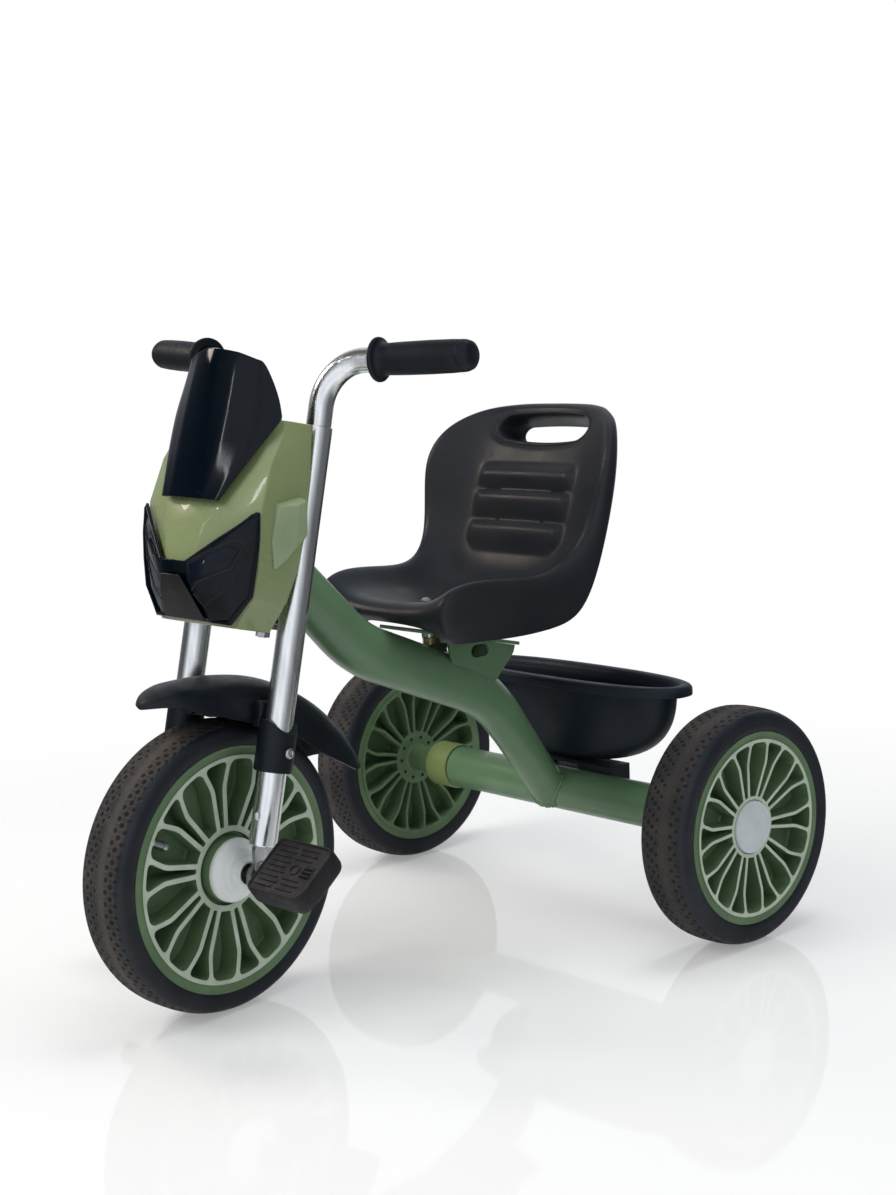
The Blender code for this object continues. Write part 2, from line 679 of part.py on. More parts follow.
def mudguard(parent):
    table = (
        (37.5, ((0.0150, 0.1515), (0.0115, 0.1550), (0.0060, 0.1565), (0.0, 0.1570))),
        (35, ((0.0260, 0.1475), (0.0200, 0.1540), (0.0110, 0.1565), (0.0, 0.1575))),
        (30, ((0.0340, 0.1390), (0.0270, 0.1500), (0.0150, 0.1545), (0.0, 0.1560))),
        (23, ((0.0362, 0.1250), (0.0325, 0.1430), (0.0190, 0.1505), (0.0, 0.1528))),
        (14, ((0.0370, 0.1175), (0.0345, 0.1390), (0.0210, 0.1488), (0.0, 0.1512))),
        (0, ((0.0380, 0.1150), (0.0355, 0.1380), (0.0220, 0.1482), (0.0, 0.1508))),
        (-14, ((0.0385, 0.1135), (0.0360, 0.1380), (0.0220, 0.1488), (0.0, 0.1515))),
        (-27, ((0.0388, 0.1130), (0.0363, 0.1385), (0.0220, 0.1505), (0.0, 0.1535))),
        (-38, ((0.0390, 0.1180), (0.0365, 0.1390), (0.0220, 0.1520), (0.0, 0.1555))),
        (-47, ((0.0385, 0.1290), (0.0355, 0.1430), (0.0220, 0.1535), (0.0, 0.1575))),
        (-54, ((0.0350, 0.1390), (0.0310, 0.1480), (0.0200, 0.1550), (0.0, 0.1585))),
    )
    rows = [guard_row(degrees, outline) for degrees, outline in table]
    made = shell("mudguard", rows, GUARD_WALL, BLACK_MATT, parent, (0.0, -FORK_OFFSET, 0.09))
    low, high = SLEEVE_Z
    for side, word in ((1, "left"), (-1, "right")):
        x = side * LEG_X
        tab = box_mesh(f"{word}_tab", (0.0080, 0.025, 0.024), (side * 0.0382, LEG_Y, 0.1235))
        boolean(made, piece(f"{word}_tab", tab, None, parent), "UNION")
        sleeve = rod_mesh(f"{word}_sleeve", SLEEVE_R, (x, LEG_Y, low), (x, LEG_Y, high))
        boolean(made, piece(f"{word}_sleeve", sleeve, None, parent), "UNION")
        bore = rod_mesh(f"{word}_leg_bore", LEG_R + GAP, (x, LEG_Y, 0.05), (x, LEG_Y, 0.2))
        boolean(made, piece(f"{word}_leg_bore", bore, None, parent))
        hole = rod_mesh(f"{word}_guard_hole", 0.0022, (x, LEG_Y, 0.097), (side * 0.08, LEG_Y, 0.097), 12)
        boolean(made, piece(f"{word}_guard_hole", hole, None, parent))
        screw = headed_profile(0.0042, 0.0025, 0.0019, 0.0032)
        head = (side * (LEG_X + SLEEVE_R + GAP), LEG_Y, 0.097)
        turn = ACROSS if side > 0 else ACROSS_BACK
        turned(f"{word}_guard_screw", screw, STEEL, parent, place=head, turn=turn, steps=12)


# The frame, in world axes with y measured from the rear axle


def from_rear(y, z, x=0.0):
    return Vector((x, REAR_AXLE_Y + y, z))


def main_tube_stations():
    """Centre, height and width of the main tube's oval section along its route."""
    corners = [from_rear(y, z) for y, z in TUBE_CORNERS]
    path = rounded_path(corners, TUBE_BEND_R, 4)
    lengths = [0.0]
    for before, after in zip(path, path[1:]):
        lengths.append(lengths[-1] + (after - before).length)
    stations = []
    for place, length in zip(path, lengths):
        share = length / lengths[-1]
        for (s0, a0, b0), (s1, a1, b1) in zip(TUBE_SIZES, TUBE_SIZES[1:]):
            if s0 <= share <= s1:
                t = (share - s0) / (s1 - s0)
                stations.append((place, a0 + (a1 - a0) * t, b0 + (b1 - b0) * t))
                break
    return stations


def main_tube_surface(grow, sides=16):
    """The oval tube as an open surface, grown outwards by a clearance."""
    stations = main_tube_stations()
    rows = []
    for i, (place, height, width) in enumerate(stations):
        before = stations[max(i - 1, 0)][0]
        after = stations[min(i + 1, len(stations) - 1)][0]
        along = (after - before).normalized()
        up = Vector((1, 0, 0)).cross(along)
        row = []
        for k in range(sides):
            angle = 2 * math.pi * (k + 0.5) / sides
            across = (width / 2 + grow) * math.cos(angle)
            rise = (height / 2 + grow) * math.sin(angle)
            row.append(place + Vector((across, 0, 0)) + up * rise)
        rows.append(row)
    return loft_mesh(rows, closed_rows=True)


def main_tube():
    inside = main_tube_stations()[0][0]
    bm = main_tube_surface(0.0)
    bmesh.ops.recalc_face_normals(bm, faces=bm.faces)
    bm.faces.ensure_lookup_table()
    first = bm.faces[0]
    if first.normal.dot(first.calc_center_median() - inside) < 0:
        bmesh.ops.reverse_faces(bm, faces=bm.faces)
    data = bpy.data.meshes.new("main_tube")
    bm.to_mesh(data)
    bm.free()
    made = piece("main_tube", data, GREEN_PAINT)
    solidify(made, MAIN_WALL)
    ends = [from_rear(0.0, REAR_TYRE_R, x) for x in (-0.1, 0.1)]
    axle = rod_mesh("axle_notch", AXLE_TUBE_R + GAP, *ends, 32)
    boolean(made, piece("axle_notch", axle, None))
    beyond = box_mesh("beyond_axle", (0.1, 0.06, 0.12), from_rear(0.03, 0.06))
    boolean(made, piece("beyond_axle", beyond, None))
    head = rod_mesh("head_notch", HEAD_R + GAP, (0, 0, 0.15), (0, 0, 0.33), 32)
    boolean(made, piece("head_notch", head, None, HEAD))
    ahead = box_mesh("ahead_of_head", (0.1, 0.06, 0.2), (0, -0.03, 0.23))
    boolean(made, piece("ahead_of_head", ahead, None, HEAD))


def head_set():
    low, high = LOWER_CROWN_Z + CROWN_THICK, UPPER_CROWN_Z
    flange = 0.003
    profile = sleeve_profile(HEAD_R, HEAD_R - HEAD_WALL, low + flange + 2 * GAP, high - flange - 2 * GAP)
    turned("head_tube", profile, GREEN_PAINT, HEAD, steps=32, ring=True)
    inner = HEAD_R - HEAD_WALL - GAP
    for name, base, way in (("lower_head_bush", low + GAP, 1), ("upper_head_bush", high - GAP, -1)):
        profile = [
            (HEAD_R, 0.0),
            (HEAD_R, flange),
            (inner, flange),
            (inner, 0.014),
            (STEM_R + GAP, 0.014),
            (STEM_R + GAP, 0.0),
        ]
        turn = (0, 0, 0) if way > 0 else (math.pi, 0, 0)
        turned(name, list(reversed(profile)), BLACK_PLASTIC, HEAD, place=(0, 0, base), turn=turn, ring=True)


def rear_axle_set():
    centre = from_rear(0, REAR_TYRE_R)
    profile = sleeve_profile(AXLE_TUBE_R, AXLE_TUBE_R - AXLE_TUBE_WALL, -AXLE_TUBE_HALF, AXLE_TUBE_HALF)
    turned("rear_axle_tube", profile, GREEN_PAINT, place=centre, turn=ACROSS, steps=32, ring=True)
    plug = AXLE_TUBE_R - AXLE_TUBE_WALL - GAP
    for side, word in ((1, "left"), (-1, "right")):
        profile = [
            (BORE_R, BUSH_END),
            (BUSH_R - 0.001, BUSH_END),
            (BUSH_R, BUSH_END - 0.001),
            (BUSH_R, AXLE_TUBE_HALF + GAP),
            (plug, AXLE_TUBE_HALF + GAP),
            (plug, AXLE_TUBE_HALF - 0.02),
            (BORE_R, AXLE_TUBE_HALF - 0.02),
        ]
        turn = ACROSS if side > 0 else ACROSS_BACK
        turned(f"{word}_axle_tube_bush", profile, PALE_GREEN, place=centre, turn=turn, ring=True)
    half = REAR_WHEEL_X + 0.0105
    rod = rod_mesh("rear_axle", AXLE_R, (-half, 0, 0), (half, 0, 0), 20)
    piece("rear_axle", rod, STEEL, place=centre)


def plate_height(y):
    """Height of the middle of the seat plate at y from the rear axle."""
    return 0.2550 - math.tan(PLATE_SLOPE) * (y + 0.105)


def seat_mounting():
    first, last = -0.190, -0.056
    middle = (first + last) / 2
    length = (last - first) / math.cos(PLATE_SLOPE)
    lean = (-PLATE_SLOPE, 0, 0)
    data = box_mesh("seat_plate", (PLATE_WIDTH, length, PLATE_THICK))
    plate = piece("seat_plate", data, GREEN_PAINT, place=from_rear(middle, plate_height(middle)), turn=lean)
    for i, y in enumerate(SEAT_SCREWS_Y):
        hole = rod_mesh(f"plate_hole_{i}", SEAT_BOLT_R + GAP, from_rear(y, 0.22), from_rear(y, 0.29), 16)
        boolean(plate, piece(f"plate_hole_{i}", hole, None))
    drop = PLATE_THICK / 2 / math.cos(PLATE_SLOPE) + GAP
    outline = [
        (-0.1422, plate_height(-0.1422) - drop),
        (-0.1380, 0.235),
        (-0.0983, 0.205),
        (-0.0650, 0.237),
        (-0.0628, plate_height(-0.0628) - drop),
    ]
    upright = (math.pi / 2, 0.0, math.pi / 2)
    data = outline_mesh("seat_bracket", [(REAR_AXLE_Y + y, z) for y, z in outline], 0.034)
    bracket = piece("seat_bracket", data, GREEN_PAINT, turn=upright)
    channel = box_mesh("bracket_channel", (0.028, 0.2, 0.1))
    roof = Vector((0.0, math.sin(PLATE_SLOPE), math.cos(PLATE_SLOPE))) * (0.053 + PLATE_THICK / 2 + GAP)
    below = from_rear(-0.105, plate_height(-0.105)) - roof
    boolean(bracket, piece("bracket_channel", channel, None, place=below, turn=lean))
    space = main_tube_surface(GAP)
    bmesh.ops.holes_fill(space, edges=space.edges)
    boolean(bracket, piece("tube_space", mesh_from("tube_space", space), None))
    slot = outline_mesh("bracket_slot", stadium(0.005, 0.0055, 6), 0.06)
    boolean(bracket, piece("bracket_slot", slot, None, place=from_rear(-0.1053, 0.2445), turn=upright))
    hole = rod_mesh("bracket_hole", SEAT_BOLT_R + GAP, from_rear(-0.075, 0.22), from_rear(-0.075, 0.29), 16)
    boolean(bracket, piece("bracket_hole", hole, None))


def seat_rows():
    """Rows across the seat, from under the front lip, over the pan and back, to behind the top edge.

    Each station gives the skirt's lower edge, the shoulder, the rim's crest and the middle of the seat.
    """
    stations = (
        ((0.058, -0.190, 0.269), (0.070, -0.197, 0.268), (0.071, -0.200, 0.274), (-0.198, 0.2815)),
        ((0.076, -0.193, 0.268), (0.082, -0.203, 0.275), (0.082, -0.210, 0.294), (-0.206, 0.2875)),
        ((0.083, -0.185, 0.268), (0.088, -0.192, 0.284), (0.083, -0.203, 0.319), (-0.194, 0.2995)),
        ((0.086, -0.168, 0.268), (0.093, -0.170, 0.300), (0.082, -0.178, 0.3290), (-0.167, 0.2920)),
        ((0.088, -0.132, 0.266), (0.095, -0.134, 0.303), (0.082, -0.138, 0.3240), (-0.125, 0.2880)),
        ((0.090, -0.095, 0.267), (0.096, -0.101, 0.300), (0.085, -0.103, 0.3200), (-0.088, 0.2880)),
        ((0.096, -0.061, 0.273), (0.100, -0.070, 0.303), (0.092, -0.080, 0.3280), (-0.060, 0.2965)),
        ((0.105, -0.047, 0.310), (0.109, -0.050, 0.330), (0.101, -0.060, 0.3490), (-0.042, 0.3210)),
        ((0.112, -0.036, 0.362), (0.116, -0.040, 0.374), (0.110, -0.054, 0.3800), (-0.0295, 0.3560)),
        ((0.114, -0.029, 0.398), (0.118, -0.033, 0.406), (0.113, -0.049, 0.4070), (-0.0165, 0.3920)),
        ((0.106, -0.018, 0.426), (0.108, -0.021, 0.429), (0.104, -0.032, 0.4295), (-0.0020, 0.4230)),
        ((0.088, -0.001, 0.441), (0.088, -0.005, 0.443), (0.084, -0.011, 0.4425), (0.0095, 0.4430)),
        ((0.070, 0.020, 0.444), (0.073, 0.014, 0.449), (0.068, 0.010, 0.4500), (0.0180, 0.4525)),
        ((0.064, 0.031, 0.438), (0.067, 0.028, 0.443), (0.064, 0.026, 0.4460), (0.0300, 0.4480)),
        ((0.062, 0.032, 0.425), (0.065, 0.032, 0.427), (0.064, 0.0325, 0.4290), (0.0350, 0.4290)),
    )
    rows = []
    for skirt, shoulder, crest, (yc, zc) in stations:
        middle = Vector((0.0, yc, zc))
        foot = middle.lerp(Vector(crest), 0.14)
        foot.x = crest[0] * 0.70
        row = [from_rear(y, z, x) for x, y, z in (skirt, shoulder, crest, foot, middle)]
        rows.append(mirrored(row))
    return rows


def seat():
    bm = loft_mesh(seat_rows())
    data = outward_mesh("seat", bm, from_rear(0.0, 0.20))
    data.shade_smooth()
    made = piece("seat", data, BLACK_PLASTIC)
    soft = made.modifiers.new("round", "SUBSURF")
    soft.levels = 1
    soft.render_levels = 1
    solidify(made, SEAT_WALL, even=False)
    lean = (math.radians(70), 0, 0)
    middle = from_rear(0.0168, 0.4240)
    tunnel = outline_mesh("seat_tunnel", stadium(0.0440, 0.0145), 0.026)
    boolean(made, piece("seat_tunnel", tunnel, None, place=middle, turn=lean), "UNION")
    slot = flared_mesh("seat_slot", stadium(0.0410, 0.0080), stadium(0.0420, 0.0150), 0.05)
    boolean(made, piece("seat_slot", slot, None, place=middle, turn=lean))
    for i, (y, top) in enumerate(zip(SEAT_SCREWS_Y, SEAT_PAN_Z)):
        low = plate_height(y) + 0.0045
        boss = rod_mesh(f"seat_boss_{i}", 0.009, from_rear(y, low), from_rear(y, top - 0.0015), 20)
        boolean(made, piece(f"seat_boss_{i}", boss, None), "UNION")
        bore = rod_mesh(f"seat_bore_{i}", SEAT_BOLT_R + GAP, from_rear(y, 0.22), from_rear(y, 0.33), 16)
        boolean(made, piece(f"seat_bore_{i}", bore, None))


def seat_fasteners():
    """A bolt down through the pan and the plate at each end of the plate, and the nut under it."""
    ends = zip(SEAT_SCREWS_Y, SEAT_PAN_Z, (0.0105, 0.0140), ("front", "rear"))
    for y, pan, reach, word in ends:
        low = plate_height(y) - reach
        bolt = headed_profile(0.0058, 0.0022, SEAT_BOLT_R, pan + 0.0008 - low)
        turned(f"seat_bolt_{word}", bolt, STEEL, place=from_rear(y, pan + 0.0008), steps=16)
        nut = (low + 0.001, low + 0.006)
        hex_nut(f"seat_nut_{word}", 0.0062, SEAT_BOLT_R + GAP, nut, BRASS, place=from_rear(y, 0.0))


def basket_row(length, depth, z, count=24, power=2.4):
    row = []
    for i in range(count):
        angle = 2 * math.pi * i / count
        c, s = math.cos(angle), math.sin(angle)
        x = math.copysign(abs(c) ** (2 / power), c) * length
        y = math.copysign(abs(s) ** (2 / power), s) * depth
        row.append(from_rear(0.0233 + y, z, x))
    return row


def basket():
    long_half, short_half = BASKET_HALF
    rows = [
        basket_row(long_half, short_half, BASKET_RIM_Z - 0.0065),
        basket_row(long_half, short_half, BASKET_RIM_Z),
        basket_row(long_half - 0.006, short_half - 0.006, BASKET_RIM_Z + 0.0005),
        basket_row(long_half - 0.0115, short_half - 0.0095, BASKET_RIM_Z - 0.006),
    ]
    for share in (0.35, 0.6, 0.8, 0.93, 1.0):
        shrink = (1 - share**2.6) ** (1 / 2.6) if share < 1 else 0.25
        length = (long_half - 0.013) * shrink
        depth = (short_half - 0.010) * (0.35 + 0.65 * shrink)
        rows.append(basket_row(length, depth, BASKET_RIM_Z - BASKET_DEPTH * share))
    bm = loft_mesh(rows, closed_rows=True)
    bm.verts.ensure_lookup_table()
    bm.faces.new(bm.verts[-len(rows[0]):])
    bmesh.ops.recalc_face_normals(bm, faces=bm.faces)
    bm.faces.ensure_lookup_table()
    if bm.faces[-1].normal.z > 0:
        bmesh.ops.reverse_faces(bm, faces=bm.faces)
    data = bpy.data.meshes.new("basket")
    bm.to_mesh(data)
    bm.free()
    made = piece("basket", data, BLACK_PLASTIC)
    solidify(made, 0.0022)


def basket_bracket():
    top = BASKET_RIM_Z - BASKET_DEPTH - GAP
    data = box_mesh("basket_bracket", (0.130, 0.026, top - 0.106), from_rear(0.0160, (top + 0.106) / 2))
    made = piece("basket_bracket", data, BLACK_PLASTIC)
    ends = [from_rear(0.0, REAR_TYRE_R, x) for x in (-0.1, 0.1)]
    axle = rod_mesh("bracket_saddle", AXLE_TUBE_R + GAP, *ends, 32)
    boolean(made, piece("bracket_saddle", axle, None))
    window = box_mesh("bracket_window", (0.050, 0.05, 0.0045), from_rear(0.016, 0.1215, 0.0))
    boolean(made, piece("bracket_window", window, None))


clear_scene()
PARTS = new_collection("tricycle")
CUTTERS = new_collection("cutters")
ACROSS = (0.0, math.pi / 2, 0.0)
ACROSS_BACK = (0.0, -math.pi / 2, 0.0)
RUBBER = material("tyre_rubber", (0.030, 0.029, 0.029), 0.8)
GREEN_RIM = material("rim_green", (0.110, 0.185, 0.075), 0.45)
GREEN_PAINT = material("frame_green", (0.095, 0.180, 0.080), 0.35)
GREEN_GLOSS = material("fairing_green", (0.240, 0.300, 0.130), 0.18)
PALE_GREEN = material("bush_green", (0.170, 0.240, 0.060), 0.5)
PALE_PLASTIC = material("hub_white", (0.62, 0.64, 0.62), 0.4)
GREY_PLASTIC = material("cap_grey", (0.30, 0.31, 0.31), 0.45)
BLACK_PLASTIC = material("black_plastic", (0.020, 0.020, 0.021), 0.42)
BLACK_MATT = material("guard_black", (0.016, 0.017, 0.018), 0.6)
BLACK_GLOSS = material("screen_black", (0.006, 0.007, 0.009), 0.08)
BROWN_BLACK = material("nose_brown", (0.035, 0.028, 0.026), 0.35)
STEEL = material("steel", (0.62, 0.63, 0.65), 0.25, 1.0)
BRASS = material("yellow_zinc", (0.50, 0.42, 0.16), 0.35, 1.0)

HEAD = empty(
    "head_axis",
    place=(0.0, FRONT_AXLE_Y + FORK_OFFSET * math.cos(RAKE), FRONT_TYRE_R - FORK_OFFSET * math.sin(RAKE)),
    turn=(-RAKE, 0.0, 0.0),
)
STEERING = empty("steering", HEAD, turn=(0.0, 0.0, STEER_AT_REST))
FRONT_WHEEL = empty("front_wheel", STEERING, place=(0.0, -FORK_OFFSET, 0.0))
LEFT_PEDAL = empty("left_pedal_pin", FRONT_WHEEL, place=Vector((PEDAL_X, 0, 0)) + PIN)
RIGHT_PEDAL = empty("right_pedal_pin", FRONT_WHEEL, place=Vector((-PEDAL_X, 0, 0)) - PIN)

front_wheel(FRONT_WHEEL)
pedal("left_pedal", LEFT_PEDAL)
pedal("right_pedal", RIGHT_PEDAL)
for side, word in ((1, "left"), (-1, "right")):
    hub = empty(f"rear_{word}_hub", place=from_rear(0, REAR_TYRE_R, side * REAR_WHEEL_X))
    rear_wheel(side, word, hub)
    fork_leg(side, word, STEERING)
    handlebar(side, word, STEERING)
crown("lower_crown", LOWER_CROWN_Z, -0.0510 - FORK_OFFSET, STEERING)
crown("upper_crown", UPPER_CROWN_Z, -0.0660 - FORK_OFFSET, STEERING)
stem(STEERING)
fairing(STEERING)
mudguard(STEERING)
main_tube()
head_set()
rear_axle_set()
seat_mounting()
seat()
seat_fasteners()
basket()
basket_bracket()
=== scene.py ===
"""The visual model of the small child's tricycle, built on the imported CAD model.

Pieces that turn with the handlebars are made in the steering frame, wheels and pedals in frames on their
own axles, and the rest in world axes with y measured from the rear axle.
"""

import math

import bmesh
import bpy
import numpy as np
from mathutils import Matrix, Vector
from mathutils.bvhtree import BVHTree


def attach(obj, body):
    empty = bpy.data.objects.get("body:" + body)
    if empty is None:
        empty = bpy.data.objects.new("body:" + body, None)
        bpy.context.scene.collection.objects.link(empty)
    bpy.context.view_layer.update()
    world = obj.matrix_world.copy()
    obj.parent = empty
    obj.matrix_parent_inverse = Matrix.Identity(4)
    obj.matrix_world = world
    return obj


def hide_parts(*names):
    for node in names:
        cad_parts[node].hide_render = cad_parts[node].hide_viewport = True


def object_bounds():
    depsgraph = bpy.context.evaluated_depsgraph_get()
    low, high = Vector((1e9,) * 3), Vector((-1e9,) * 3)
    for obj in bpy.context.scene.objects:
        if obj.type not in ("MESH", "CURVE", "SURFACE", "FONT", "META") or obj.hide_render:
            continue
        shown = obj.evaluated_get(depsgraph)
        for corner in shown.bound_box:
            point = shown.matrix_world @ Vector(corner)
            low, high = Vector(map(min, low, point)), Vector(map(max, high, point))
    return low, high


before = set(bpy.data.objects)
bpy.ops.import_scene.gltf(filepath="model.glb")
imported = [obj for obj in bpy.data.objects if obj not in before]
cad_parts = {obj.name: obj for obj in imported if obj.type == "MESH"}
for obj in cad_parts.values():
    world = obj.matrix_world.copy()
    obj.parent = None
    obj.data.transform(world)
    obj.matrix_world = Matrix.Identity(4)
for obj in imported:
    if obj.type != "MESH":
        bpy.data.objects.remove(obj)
CAD_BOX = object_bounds()

# Dimensions repeated from the CAD source
WHEELBASE = 0.386
FRONT_TYRE_R, FRONT_TYRE_W, FRONT_RIM_R = 0.115, 0.0495, 0.0975
REAR_TYRE_R, REAR_TYRE_W, REAR_RIM_R = 0.100, 0.0465, 0.0811
WIDTH = 0.467
RAKE = math.radians(13.6)
STEER_AT_REST = math.radians(6.0)
FORK_OFFSET = 0.019
REAR_AXLE_Y = (WHEELBASE + FRONT_TYRE_R - REAR_TYRE_R) / 2
FRONT_AXLE_Y = REAR_AXLE_Y - WHEELBASE
REAR_WHEEL_X = (WIDTH - REAR_TYRE_W) / 2
WEB_HALF = 0.002
AXLE_R = 0.005
HUB_CAP_R = 0.0225
HUB_CAP_FACE = 0.0172
LEG_X, LEG_Y, LEG_R = 0.0535, -FORK_OFFSET - 0.0025, 0.011
LEG_BOTTOM, LEG_TOP = 0.024, 0.3475
BAR_R, BAR_BOTTOM, BAR_BEND_R = 0.0097, 0.322, 0.037
GRIP_START = Vector((0.0962, 0.0080 - FORK_OFFSET, 0.4015))
GRIP_END = Vector((0.1834, 0.0265 - FORK_OFFSET, 0.4092))
GRIP_LENGTH, GRIP_R, GRIP_FLANGE_R = 0.0845, 0.0125, 0.0172
CRANK_R = 0.045
CRANK_ANGLE = math.radians(20.7)
CRANK_ARM_X = (0.075, 0.094)
PEDAL_X = 0.1315
PEDAL_SIZE = (0.057, 0.049, 0.018)
PEDAL_TILT = math.radians(50.1)
PIN = Vector((0.0, -CRANK_R * math.cos(CRANK_ANGLE), CRANK_R * math.sin(CRANK_ANGLE)))
SLEEVE_R, SLEEVE_Z = 0.015, (0.081, 0.121)
AXLE_TUBE_R, AXLE_TUBE_HALF = 0.0195, 0.129
BUSH_R, BUSH_END = 0.0215, 0.158
TUBE_CORNERS = ((-0.3104, 0.3474), (-0.2304, 0.2631), (-0.0848, 0.2020), (-0.0050, 0.0940))
TUBE_BEND_R = 0.12
TUBE_SIZES = (
    (0.0, 0.041, 0.038), (0.35, 0.0455, 0.040), (0.62, 0.0440, 0.040), (0.80, 0.0330, 0.042),
    (1.0, 0.0290, 0.044),
)
PLATE_SLOPE = math.radians(13.2)
BASKET_HALF, BASKET_RIM_Z, BASKET_DEPTH = (0.137, 0.0375), 0.2029, 0.0765

SIDES = ((1, "left"), (-1, "right"))

# Frames that the pieces are made in
HERE = Matrix.Identity(4)
HEAD = Matrix.Translation(
    (0.0, FRONT_AXLE_Y + FORK_OFFSET * math.cos(RAKE), FRONT_TYRE_R - FORK_OFFSET * math.sin(RAKE))
) @ Matrix.Rotation(-RAKE, 4, "X")
STEER = HEAD @ Matrix.Rotation(STEER_AT_REST, 4, "Z")
WHEEL = STEER @ Matrix.Translation((0.0, -FORK_OFFSET, 0.0))
REAR = Matrix.Translation((0.0, REAR_AXLE_Y, 0.0))


def pedal_frame(side):
    pin = Vector((side * PEDAL_X, 0.0, 0.0)) + PIN * side
    return WHEEL @ Matrix.Translation(pin) @ Matrix.Rotation(PEDAL_TILT, 4, "X")


def rear_frame(side):
    place = Matrix.Translation((side * REAR_WHEEL_X, REAR_AXLE_Y, REAR_TYRE_R))
    return place @ half_turn(side)


# Materials


def srgb(r, g, b):
    """A colour given in the 0 to 255 steps of a picture."""
    shares = [c / 255 for c in (r, g, b)]
    return (*[((c + 0.055) / 1.055) ** 2.4 if c > 0.04 else c / 12.92 for c in shares], 1.0)


def connect(tree, node, inputs):
    """Sets a node's inputs, each to a value or to the output that feeds it."""
    for key, value in inputs.items():
        if isinstance(value, bpy.types.NodeSocket):
            tree.links.new(value, node.inputs[key])
        else:
            node.inputs[key].default_value = value
    return node


def add_node(tree, kind, inputs, **settings):
    node = tree.nodes.new("ShaderNode" + kind)
    for key, value in settings.items():
        setattr(node, key, value)
    return connect(tree, node, inputs)


class Finish:
    """A procedural material on a Principled shader, with object coordinates."""

    def __init__(self, name, metallic=0.0, coat=0.0, specular=0.5):
        self.made = bpy.data.materials.new(name)
        self.made.use_nodes = True
        self.tree = self.made.node_tree
        self.shader = self.tree.nodes["Principled BSDF"]
        self.feed({"Metallic": metallic, "Coat Weight": coat, "Coat Roughness": 0.06})
        self.feed({"Specular IOR Level": specular})
        self.coords = self.node("TexCoord", {}, "Object")

    def feed(self, inputs):
        connect(self.tree, self.shader, inputs)

    def node(self, kind, inputs, output, **settings):
        return add_node(self.tree, kind, inputs, **settings).outputs[output]

    def noise(self, scale, detail=4.0, stretch=None):
        source = self.coords
        if stretch:
            source = self.node("Mapping", {"Scale": stretch, "Vector": source}, "Vector")
        return self.node("TexNoise", {"Scale": scale, "Detail": detail, "Vector": source}, "Fac")

    def attribute(self, name):
        return self.node("Attribute", {}, "Fac", attribute_name=name)

    def span(self, value, low, high, out_low=0.0, out_high=1.0):
        """A value's range from low to high mapped to another range."""
        inputs = {"From Min": low, "From Max": high, "To Min": out_low, "To Max": out_high}
        return self.node("MapRange", inputs | {"Value": value}, "Result")

    def mix(self, share, first, second):
        inputs = {"Factor": share, "A": first, "B": second}
        return self.node("Mix", inputs, "Result", data_type="RGBA")

    def done(self, colour, roughness, *layers):
        """The material. Each layer (height, strength, distance in metres) is a bump over the one before."""
        self.feed({"Base Color": colour, "Roughness": roughness})
        normal = {}
        for height, strength, distance in layers:
            inputs = {"Strength": strength, "Distance": distance, "Height": height}
            normal = {"Normal": self.node("Bump", inputs | normal, "Normal")}
        self.feed(normal)
        return self.made


def moulded(name, dark, light, rough, grain=(900, 0.12), patch=22, coat=0.0, specks=0.0, specular=0.5):
    """Moulded or painted plastic: broad tone patches, a fine grain and a few pale dust specks."""
    made = Finish(name, coat=coat, specular=specular)
    tone = made.span(made.noise(patch, 5.0), 0.32, 0.68)
    colour = made.mix(tone, srgb(*dark), srgb(*light))
    if specks:
        dust = made.span(made.noise(420, 2.0), 0.70, 0.80, 0.0, specks)
        colour = made.mix(dust, colour, srgb(170, 170, 165))
    roughness = made.span(made.noise(patch * 3.3, 4.0), 0.3, 0.7, *rough)
    fine, broad = (made.noise(grain[0], 3.0), grain[1], 0.0004), (made.noise(60, 2.0), 0.05, 0.002)
    return made.done(colour, roughness, fine, broad)


def metal(name, dark, light, rough, stretch=(1, 1, 1), scale=40, mark=0.06):
    """Bright metal with tone and roughness streaks drawn out along one axis."""
    made = Finish(name, metallic=1.0)
    colour = made.mix(made.span(made.noise(scale, 5.0, stretch), 0.3, 0.7), (*dark, 1), (*light, 1))
    roughness = made.span(made.noise(scale * 1.7, 6.0, stretch), 0.3, 0.7, *rough)
    return made.done(colour, roughness, (made.noise(scale * 9, 3.0, stretch), mark, 0.0003))


def tread_finish():
    """Worn rubber, with dust round the dimples, and painted shade that darkens the dimples."""
    made = Finish("tyre_tread", specular=0.3)
    tone = made.span(made.noise(28, 6.0), 0.35, 0.7)
    colour = made.mix(tone, srgb(30, 31, 35), srgb(60, 56, 54))
    film = made.span(made.attribute("dust"), 0.0, 1.0, 0.0, 0.75)
    colour = made.mix(film, colour, srgb(94, 88, 83))
    grit = made.span(made.noise(700, 3.0), 0.58, 0.75, 0.0, 0.3)
    colour = made.mix(grit, colour, srgb(116, 108, 100))
    # Painted shade: the dimples are darkened towards their middles.
    colour = made.mix(made.attribute("painted_dimple_shade"), colour, srgb(25, 26, 29))
    roughness = made.span(made.noise(120, 4.0), 0.3, 0.7, 0.62, 0.9)
    return made.done(
        colour, roughness, (made.noise(1100, 4.0), 0.35, 0.0005), (made.noise(160, 3.0), 0.12, 0.001)
    )


